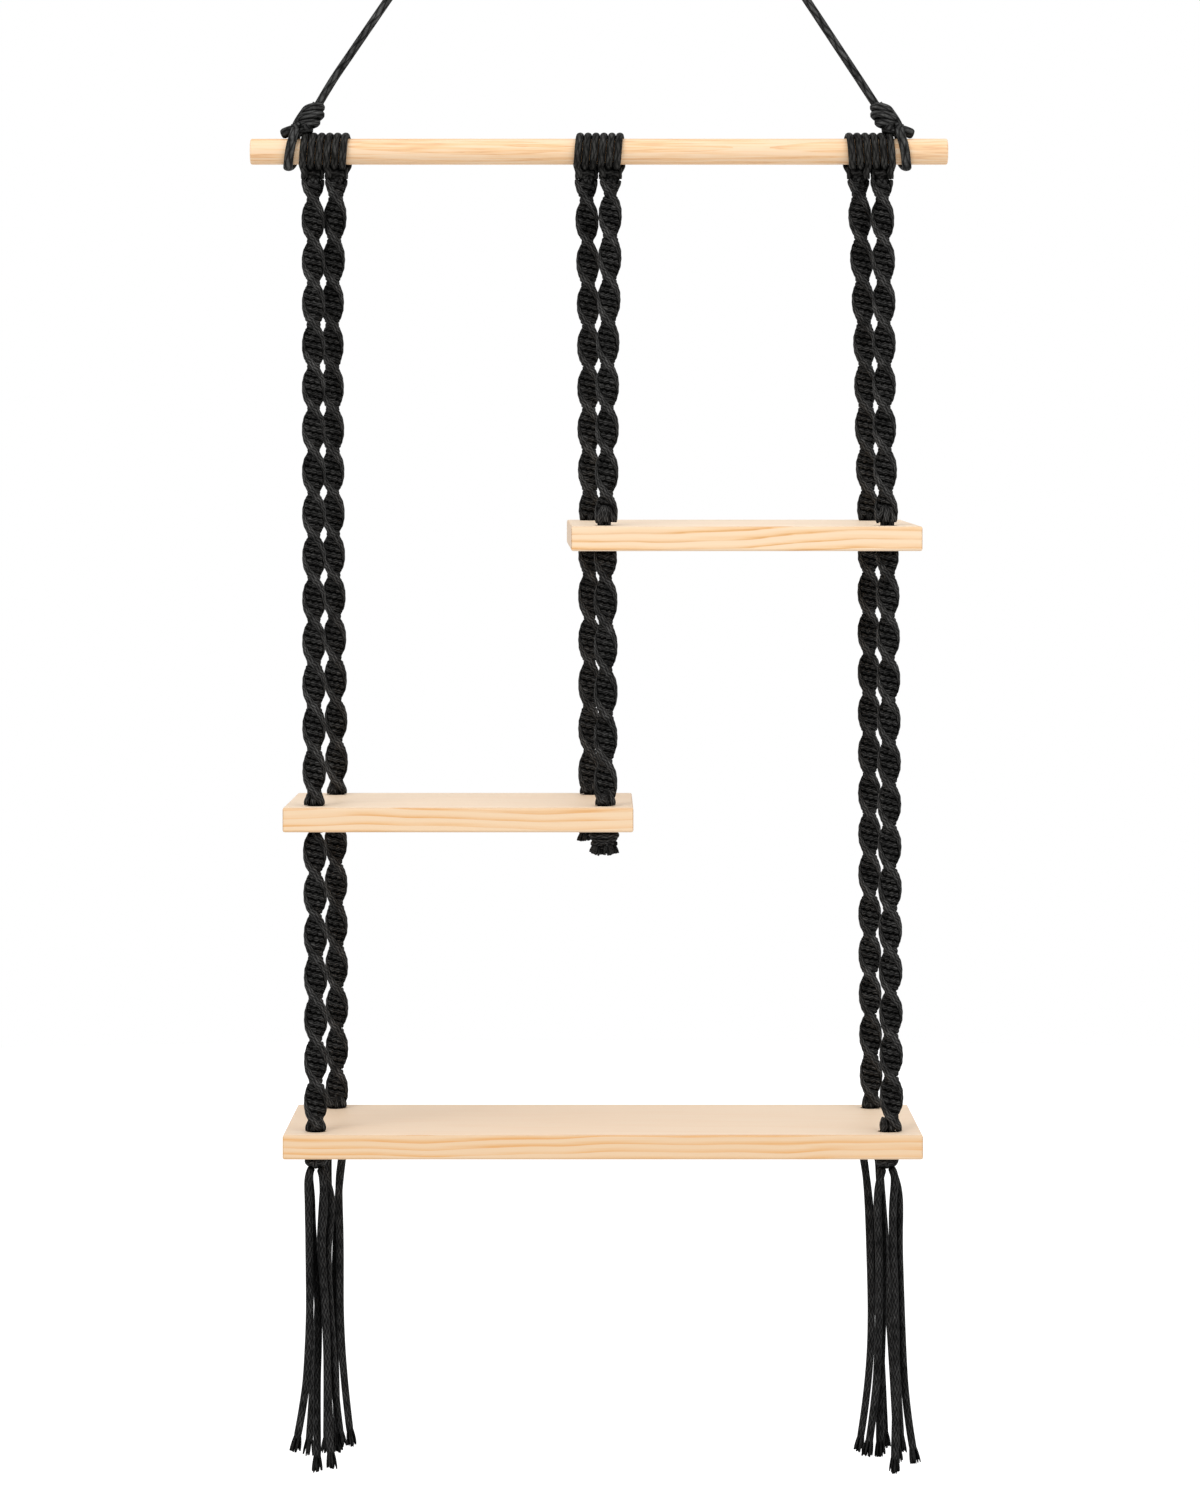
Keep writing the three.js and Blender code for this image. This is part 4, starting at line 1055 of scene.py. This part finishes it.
# %% Make the ropes
ROPE_TOP = -0.33182
ABOVE_BOARD = 0.0010
BELOW_BOARD = 0.0014
NECK_RISE = 0.007
NECK_OVERLAP = 0.0003
NECK_SHORT = 0.0005
HOLES = dict(TASSEL_HOLES, middle_front=(0.0031, -0.054), middle_rear=(-0.0047, 0.054))
BOARD_TOPS = {"upper": -0.5435, "middle": -0.7145, "lower": -0.9115}
BOARD_THICKNESS = 0.015
ROPE_BOARDS = {
    "left": ("middle", "lower"),
    "middle": ("upper", "middle"),
    "right": ("upper", "lower"),
}
SPIRALS = {
    "left_front": ((116, 259), (240, 252)),
    "left_rear": ((102, 260), (262, 260)),
    "middle_front": ((92, 264), (167, 276)),
    "middle_rear": ((120, 257), (158, 278)),
    "right_front": ((122, 258), (150, 253)),
    "right_rear": ((102, 259), (152, 253)),
}
SWAYS = {
    "left_front": ((2, 2, -2, -4, -8, -10), (-8, -3, -1, -2)),
    "left_rear": ((0, -24, -21, -15, -3, 8), (0, 4, 8, 7)),
    "middle_front": ((0, 5, 2, 8, 12), (8, 10, 10, 8)),
    "middle_rear": ((-3, 0, -3, -9, -8), (-14, -12, -12, -12)),
    "right_front": ((-3, 0, -4, -9, -5), (0, 8, 14, 21, 27)),
    "right_rear": ((0, 4, 5, -3, -6), (-6, -4, -1, 1, 11)),
}


def rope(name, dice):
    """Both lengths of a rope with their skirts and necks. It gives the number of half knots."""
    hole_x, hole_y = HOLES[name]
    tops = [BOARD_TOPS[board] for board in ROPE_BOARDS[name.split("_")[0]]]
    under = tops[0] - BOARD_THICKNESS - BELOW_BOARD
    starts = ((ROPE_X[name], 0, ROPE_TOP), (hole_x, hole_y, under))
    feet = (under + NECK_OVERLAP, tops[1] - BOARD_THICKNESS + NECK_SHORT)
    total = 0
    for number, part in enumerate(("upper", "lower")):
        end = (hole_x, hole_y, tops[number] + ABOVE_BOARD)
        first, half_turn = np.array(SPIRALS[name][number]) / TENTHS
        twist = math.pi / half_turn
        start = math.pi / 2 - twist * first
        sway = np.array(SWAYS[name][number]) / TENTHS
        tubes, knots = half_knots(starts[number], end, start, twist, number + 1, dice, sway)
        tubes += skirt(hole_x + sway[-1], hole_y, tops[number])
        tubes += neck(hole_x, hole_y, end[2] + NECK_RISE, feet[number])
        piece(f"{name}_rope_{part}", tubes, cord)
        total += knots
    return total


print("half knots tied:", sum(rope(name, dice) for name in ROPE_X))

# %% [markdown]
# ## Knots under the boards
# The middle ropes end in a knot under the middle board, with four short combed ends. The outer ropes
# end in a knot under the lowest board, pressed flat against it, and their cords go on as the tassels.
# Both are made from turns of cord. A lid keeps the upper turns just under the board.

# %% Stop knots
CORD_HALF = 0.0022
LID_GAP = 0.0003
STOP_TURNS = ((0, 0.0), (62, 0.0004), (118, -0.0002))
STOP_REACH = 0.0052
STOP_DEPTH = 0.0028
STOP_DROPS = (0.0024, 0.0026, 0.0042)
STOP_RING = 0.0050
STOP_RING_TILT = 0.0006
STOP_RING_CLIMB = (0, 0, -0.001)
STOP_THINNESS = (0.95, 0.9)
STOP_CORE = 0.0024
STOP_ANGLES = {"left_front": 25, "left_rear": 70, "right_front": 150, "right_rear": 100}


def stop_knot(name, turned):
    """Three slanting turns over a ring and a core, pressed against the lowest board."""
    x, y = TASSEL_HOLES[name]
    under = foot("lower_shelf")
    lid = under - LID_GAP - CORD_HALF
    tubes = []
    for more, lift in STOP_TURNS:
        angle = math.radians(turned + more)
        across = np.array((math.cos(angle), math.sin(angle), 0)) * STOP_REACH
        center = (x, y, under - STOP_DROPS[0] - lift)
        tubes.append(turn(center, across, (0, 0, -STOP_DEPTH), CORD_HALF, STOP_THINNESS[0], lid=lid))
    tubes.append(turn(
        (x, y, under - STOP_DROPS[1]), (STOP_RING, 0, STOP_RING_TILT), (0, STOP_RING, 0), CORD_HALF,
        STOP_THINNESS[1], STOP_RING_CLIMB, lid=lid,
    ))
    core = (x, y, under - STOP_DROPS[2])
    tubes.append(turn(core, (STOP_CORE, 0, 0), (0, STOP_CORE, 0), CORD_HALF, lid=lid))
    return piece(f"{name}_stop_knot", tubes, cord)


for name, turned in STOP_ANGLES.items():
    stop_knot(name, turned)
print("stop knots:", len(STOP_ANGLES))

# %% End knots
# The drop, the half width and the half depth of a turn.
END_TOP = (0.0027, 0.0071, 0.0058)
END_SIDE = (0.0062, 0.0062, 0.0052)
END_SIDE_TILT = 0.0017
END_SIDE_START = 20
END_RINGS = ((0.0050, 0.0025), (0.0088, 0.0022))
END_THINNER = 0.95
FIRST_END = 25
END_WAY = 0.3
END_OUT = 0.0044
END_DROP = 0.0058
SHOULDER_STEP = 0.0018
BRUSH_START = 0.0022
END_BRUSH = (0.0060, 0.0030)
END_YARNS = 24
END_YARN_HALF = 0.0008


def end_knot(name, dice):
    """A round knot under the middle board, with four short cut ends."""
    x, y = HOLES[name]
    under = foot("middle_shelf")
    lid = under - LID_GAP - CORD_HALF
    drop, wide, deep = END_TOP
    tubes = [turn((x, y, under - drop), (wide, 0, 0), (0, deep, 0), CORD_HALF, lid=lid)]
    drop, wide, deep = END_SIDE
    for lean in (-1, 1):
        start = END_SIDE_START * lean
        tubes.append(turn(
            (x, y, under - drop), (wide, 0, lean * END_SIDE_TILT), (0, deep, 0),
            CORD_HALF * END_THINNER, start=start, end=start + 360 - END_SIDE_START,
        ))
    for drop, radius in END_RINGS:
        tubes.append(turn((x, y, under - drop), (radius, 0, 0), (0, radius, 0), CORD_HALF))
    for i in range(4):
        angle = math.radians(FIRST_END + 90 * i)
        way = np.array((END_WAY * math.cos(angle), END_WAY * math.sin(angle), -1))
        start = np.array((x + END_OUT * math.cos(angle), y + END_OUT * math.sin(angle), under - END_DROP))
        shoulder = [start + way * SHOULDER_STEP * step for step in range(3)]
        tubes.append(tube(shoulder, CORD_HALF * END_THINNER, sides=FINE_SIDES))
        tubes += brush(start + way * BRUSH_START, way, *END_BRUSH, dice, END_YARNS, END_YARN_HALF)
    return piece(f"{name}_end_knot", tubes, cord)


for name in ("middle_front", "middle_rear"):
    knot = end_knot(name, dice)
    print(knot.name, "made of", len(knot.data.polygons), "faces")

# %% [markdown]
# ## Pine
# The boards are sawn pine, pale with orange grain that waves a little along the board. A tree's growth
# rings are nearly round pipes along the trunk, so a wave texture in rings round the board's length
# gives the right grain on every face at once, also on the sawn ends. A saw-tooth wave fits wood well:
# each year starts pale and ends in a thin darker line. Stretched noises add the fibres and broad
# streaks, and let the grain fade in places. On the boards the tops and undersides are painted paler, as
# painted light; the sawn ends are greyer, partly from end grain and partly as painted shade; and the
# edges are darker, as on the real ones. A bevel node finds the edges, because its rounded normal lies
# between two faces there.

# %% Pine colours
PINE_LINE = (0.76, 0.40, 0.155)
PINE_ARRIS = (0.40, 0.20, 0.08)
# A paler tone laid on the boards' tops and undersides: painted light.
PINE_PAINTED_LIGHT_FACE = (0.97, 0.85, 0.71)
# A greyer tone for the sawn ends: partly end grain, partly painted shade.
PINE_END_GRAIN_AND_SHADE = (0.72, 0.60, 0.50)
PINE_WARMTH = (0.97, 0.85, 0.69)
PINE_ROUGHNESS = 0.55
PINE_GLOSS = 0.3
PINE_BUMP = 0.15
PINE_BUMP_DEPTH = 0.0003
ARRIS_RADIUS = 0.0011
ARRIS_RAYS = 8


def mixed(tree, share, first, second):
    """Two colours mixed, each a written colour or the colour that another node gives."""
    first, second = [(*color, 1) if isinstance(color, tuple) else color for color in (first, second)]
    inputs = {"Factor": share, "A": first, "B": second}
    return add_node(tree, "Mix", inputs, data_type="RGBA").outputs["Result"]


def spread_over(tree, value, low, high, most):
    """A value from low to high, stretched to run from zero to most."""
    inputs = {"Value": value, "From Min": low, "From Max": high, "To Max": most}
    return add_node(tree, "MapRange", inputs).outputs[0]


def mapped(tree, place, scale, location=(0, 0, 0)):
    """The place, scaled and moved before a texture reads it."""
    return add_node(tree, "Mapping", {"Vector": place, "Location": location, "Scale": scale}).outputs[0]


def painted_light_and_face_colors(tree, color):
    """Paler tops and undersides as painted light, greyer sawn ends as end grain and painted shade, and
    darker edges, laid over a board's grain.
    """
    bevel = add_node(tree, "Bevel", {"Radius": ARRIS_RADIUS}, samples=ARRIS_RAYS)
    turned = add_node(
        tree, "VectorTransform", {0: bevel.outputs[0]},
        vector_type="NORMAL", convert_from="WORLD", convert_to="OBJECT",
    )
    corner = add_node(tree, "SeparateXYZ", {0: turned.outputs[0]})
    flats = [math_node(tree, "ABSOLUTE", axis) for axis in corner.outputs]
    flattest = math_node(tree, "MAXIMUM", math_node(tree, "MAXIMUM", flats[0], flats[1]), flats[2])
    arris = math_node(tree, "SUBTRACT", 1.0, flattest)
    upright = math_node(tree, "SUBTRACT", arris, flats[2])
    # Each row: a value, where its tone starts, where it is strongest, how strong it gets, and the tone.
    # The first row paints light on the tops and undersides; the second paints the sawn ends greyer, partly
    # end grain and partly painted shade.
    for value, low, high, most, tone in (
        (flats[2], 0.5, 0.98, 0.5, PINE_PAINTED_LIGHT_FACE),
        (flats[0], 0.6, 0.98, 0.5, PINE_END_GRAIN_AND_SHADE),
        (arris, 0.01, 0.2, 0.25, PINE_ARRIS),
        (upright, 0.005, 0.08, 0.9, PINE_ARRIS),
    ):
        color = mixed(tree, spread_over(tree, value, low, high, most), color, tone)
    return color


# %% Pine material
RING_STRETCH = (0.5, 1, 1)
RING_WAVES = {"Scale": 78, "Distortion": 10, "Detail": 2, "Detail Scale": 0.18}
FIBRE_STRETCH = (0.03, 1, 1)
FIBRE_SCALE = 900
FADE_STRETCH = (0.22, 1, 1)
FADE_SCALE = 75
FADE_RANGE = (0.42, 0.62)
FIBRE_STRENGTH = 1.4
RING_LEVEL = 0.55
GRAIN_STOPS = (0.0, 0.33, 0.7, 0.92, 1.0)
BOARD_LOOK = {"streak_scale": 220, "streaks": 0.9, "fading": 0.5}
ROD_LOOK = {"streak_scale": 750, "streaks": 2.0, "fading": 0.15}


def growth_rings(tree, place, heart):
    """A saw-tooth wave in rings round a line along the board. heart is how far that line is moved."""
    rings = add_node(
        tree, "TexWave", {"Vector": mapped(tree, place, RING_STRETCH, heart), **RING_WAVES},
        wave_type="RINGS", rings_direction="X", wave_profile="SAW",
    )
    return rings.outputs["Fac"]


def pine_material(name, heart, pale, line, waves=1.0, look=BOARD_LOOK):
    """Pine with pale early wood and darker lines. waves is how strong the rings are."""
    material, tree = new_material(name)
    shader = new_shader(tree, PINE_ROUGHNESS, PINE_GLOSS)
    place = add_node(tree, "TexCoord", {}).outputs["Object"]
    stretched = mapped(tree, place, FIBRE_STRETCH)
    fibre = noise(tree, stretched, FIBRE_SCALE, 4)
    streaks = noise(tree, stretched, look["streak_scale"], 2)
    strengths = (FIBRE_STRENGTH - waves, look["streaks"])
    fine = math_node(tree, "MULTIPLY_ADD", fibre, strengths[0], -0.5 * strengths[0])
    broad = math_node(tree, "MULTIPLY_ADD", streaks, strengths[1], -0.5 * strengths[1])
    rise = math_node(tree, "MULTIPLY", growth_rings(tree, place, heart), waves)
    rise = math_node(tree, "ADD", rise, RING_LEVEL * (1 - waves))
    grain = math_node(tree, "ADD", rise, math_node(tree, "ADD", fine, broad))
    warm = tuple(tone * share for tone, share in zip(pale, PINE_WARMTH))
    color = ramp(tree, grain, list(zip(GRAIN_STOPS, (pale, pale, warm, line, warm))))
    patches = noise(tree, mapped(tree, place, FADE_STRETCH), FADE_SCALE, 1)
    color = mixed(tree, spread_over(tree, patches, *FADE_RANGE, look["fading"]), color, pale)
    if look is BOARD_LOOK:
        color = painted_light_and_face_colors(tree, color)
    tree.links.new(color, shader.inputs["Base Color"])
    add_bump(tree, shader, grain, PINE_BUMP, PINE_BUMP_DEPTH)
    return material


# %% Dress the boards
# For each board: its material's name, how far the line of its growth rings is moved, and its pale tone,
# which is darker from the upper board down to the lowest.
BOARDS = {
    "upper_shelf": ("pine of the upper board", (0.3, 0.1, 0.50), (0.93, 0.705, 0.48)),
    "middle_shelf": ("pine of the middle board", (0.1, 0.115, 0.665), (0.86, 0.635, 0.42)),
    "lower_shelf": ("pine of the lower board", (0.7, 0.09, 0.87), (0.81, 0.58, 0.37)),
}
for node, (name, heart, pale) in BOARDS.items():
    board = frame["nodes"][node].data
    board.materials.clear()
    board.materials.append(pine_material(name, heart, pale, PINE_LINE))
print("boards dressed:", len(BOARDS))

# %% [markdown]
# ## The dowel
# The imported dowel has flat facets, which show at its ends. Here it is turned again as a smooth rod, with
# the same length and thickness and with lightly rounded ends.

# %% Turn the dowel
DOWEL_ROUND = 0.0012
DOWEL_ROUND_STEPS = 5
DOWEL_SIDES = 64
ROD_HEART = (0.2, 0.03, 0.305)
ROD_PALE = (0.95, 0.70, 0.47)
ROD_LINE = (0.78, 0.45, 0.24)
ROD_WAVES = 0.5


def rod_profile():
    """The rings of the rod from end to end, as places along it and radii."""
    rising = []
    for step in range(DOWEL_ROUND_STEPS, -1, -1):
        angle = math.pi / 2 * step / DOWEL_ROUND_STEPS
        rising.append((
            -dowel_end + DOWEL_ROUND * (1 - math.sin(angle)),
            dowel_radius - DOWEL_ROUND * (1 - math.cos(angle)),
        ))
    return rising + [(-x, radius) for x, radius in reversed(rising)]


def turned_dowel(material):
    profile = rod_profile()
    corners = []
    for x, radius in profile:
        for side in range(DOWEL_SIDES):
            angle = 2 * math.pi * side / DOWEL_SIDES
            corners.append((x, -radius * math.cos(angle), dowel_z + radius * math.sin(angle)))
    last = (len(profile) - 1) * DOWEL_SIDES
    faces = [tuple(range(DOWEL_SIDES)), tuple(range(last + DOWEL_SIDES - 1, last - 1, -1))]
    for ring in range(len(profile) - 1):
        for side in range(DOWEL_SIDES):
            here = ring * DOWEL_SIDES + side
            beside = ring * DOWEL_SIDES + (side + 1) % DOWEL_SIDES
            faces.append((here, here + DOWEL_SIDES, beside + DOWEL_SIDES, beside))
    mesh = bpy.data.meshes.new("dowel_rod")
    mesh.from_pydata(corners, [], faces)
    mesh.polygons.foreach_set("use_smooth", [len(face) == 4 for face in faces])
    mesh.materials.append(material)
    rod = placed("dowel_rod", mesh)
    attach(rod, "hanger")
    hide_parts("dowel")
    return rod


rod = turned_dowel(pine_material("pine of the dowel", ROD_HEART, ROD_PALE, ROD_LINE, ROD_WAVES, ROD_LOOK))
print("dowel turned with", len(rod.data.vertices) // DOWEL_SIDES, "rings")

# %% [markdown]
# ## Floor, background and light
# The shelf hangs over a plain pale floor, in front of white. The world shows white to the camera and in
# reflections, and gives a softer light of its own to everything else. Three broad suns do the rest: a
# key from the upper left, a weaker fill from the right, and one overhead for the boards' tops. Together
# they bring a white surface close to full white, so the written colours come out as written.

# %% Floor
FLOOR_Z = -1.45
FLOOR_RADIUS = 5.0
FLOOR_SIDES = 96
FLOOR_COLOR = (0.8, 0.8, 0.8, 1)
FLOOR_GLOW = 0.4


def floor():
    """A round floor, with a glow that only the camera sees."""
    material, tree = new_material("pale floor")
    rays = add_node(tree, "LightPath", {})
    seen = math_node(tree, "MULTIPLY", rays.outputs["Is Camera Ray"], FLOOR_GLOW)
    matte = add_node(tree, "BsdfDiffuse", {"Color": FLOOR_COLOR})
    glow = add_node(tree, "Emission", {"Strength": seen})
    both = add_node(tree, "AddShader", {0: matte.outputs[0], 1: glow.outputs[0]})
    add_node(tree, "OutputMaterial", {"Surface": both.outputs[0]})
    corners = [(0, 0, FLOOR_Z)]
    for side in range(FLOOR_SIDES):
        angle = 2 * math.pi * side / FLOOR_SIDES
        corners.append((FLOOR_RADIUS * math.cos(angle), FLOOR_RADIUS * math.sin(angle), FLOOR_Z))
    faces = [(0, side + 1, (side + 1) % FLOOR_SIDES + 1) for side in range(FLOOR_SIDES)]
    mesh = bpy.data.meshes.new("floor")
    mesh.from_pydata(corners, [], faces)
    mesh.materials.append(material)
    return placed("floor", mesh)


floor()
print("floor at", FLOOR_Z)

# %% World and suns
WORLD_LIGHT = 0.62
# For each sun: where it shines from, its strength, and its spread in degrees.
SUNS = {
    "key": ((-0.5, -0.75, 0.65), 0.9, 30),
    "fill": ((0.7, -0.7, 0.15), 0.5, 40),
    "overhead": ((0.1, -0.3, 1.0), 0.8, 60),
}


def white_world(light):
    """White where it is seen or mirrored, and a softer light everywhere else."""
    world = bpy.data.worlds.new("white studio")
    bpy.context.scene.world = world
    world.use_nodes = True
    tree = world.node_tree
    tree.nodes.clear()
    rays = add_node(tree, "LightPath", {})
    seen = math_node(tree, "MAXIMUM", rays.outputs["Is Camera Ray"], rays.outputs["Is Glossy Ray"])
    seen = math_node(tree, "MAXIMUM", seen, rays.outputs["Is Transmission Ray"])
    strength = math_node(tree, "MULTIPLY_ADD", seen, 1 - light, light)
    background = add_node(tree, "Background", {"Color": (1, 1, 1, 1), "Strength": strength})
    add_node(tree, "OutputWorld", {"Surface": background.outputs[0]})


def sun(name, comes_from, energy, spread):
    """A sun that shines from a direction, with its spread in degrees."""
    light = bpy.data.lights.new(name, "SUN")
    light.energy = energy
    light.angle = math.radians(spread)
    x, y, z = comes_from
    lamp = placed(name, light)
    lamp.rotation_euler = (math.atan2(math.hypot(x, y), z), 0, math.atan2(x, -y))


white_world(WORLD_LIGHT)
for name, (comes_from, energy, spread) in SUNS.items():
    sun(name, comes_from, energy, spread)
bpy.context.scene.view_settings.view_transform = "Standard"
print("suns:", ", ".join(SUNS))

# %% [markdown]
# ## Finish
# Last, the scene is updated once more. The dressing should stay within a few millimetres of the frame.

# %% Finish
bpy.context.view_layer.update()
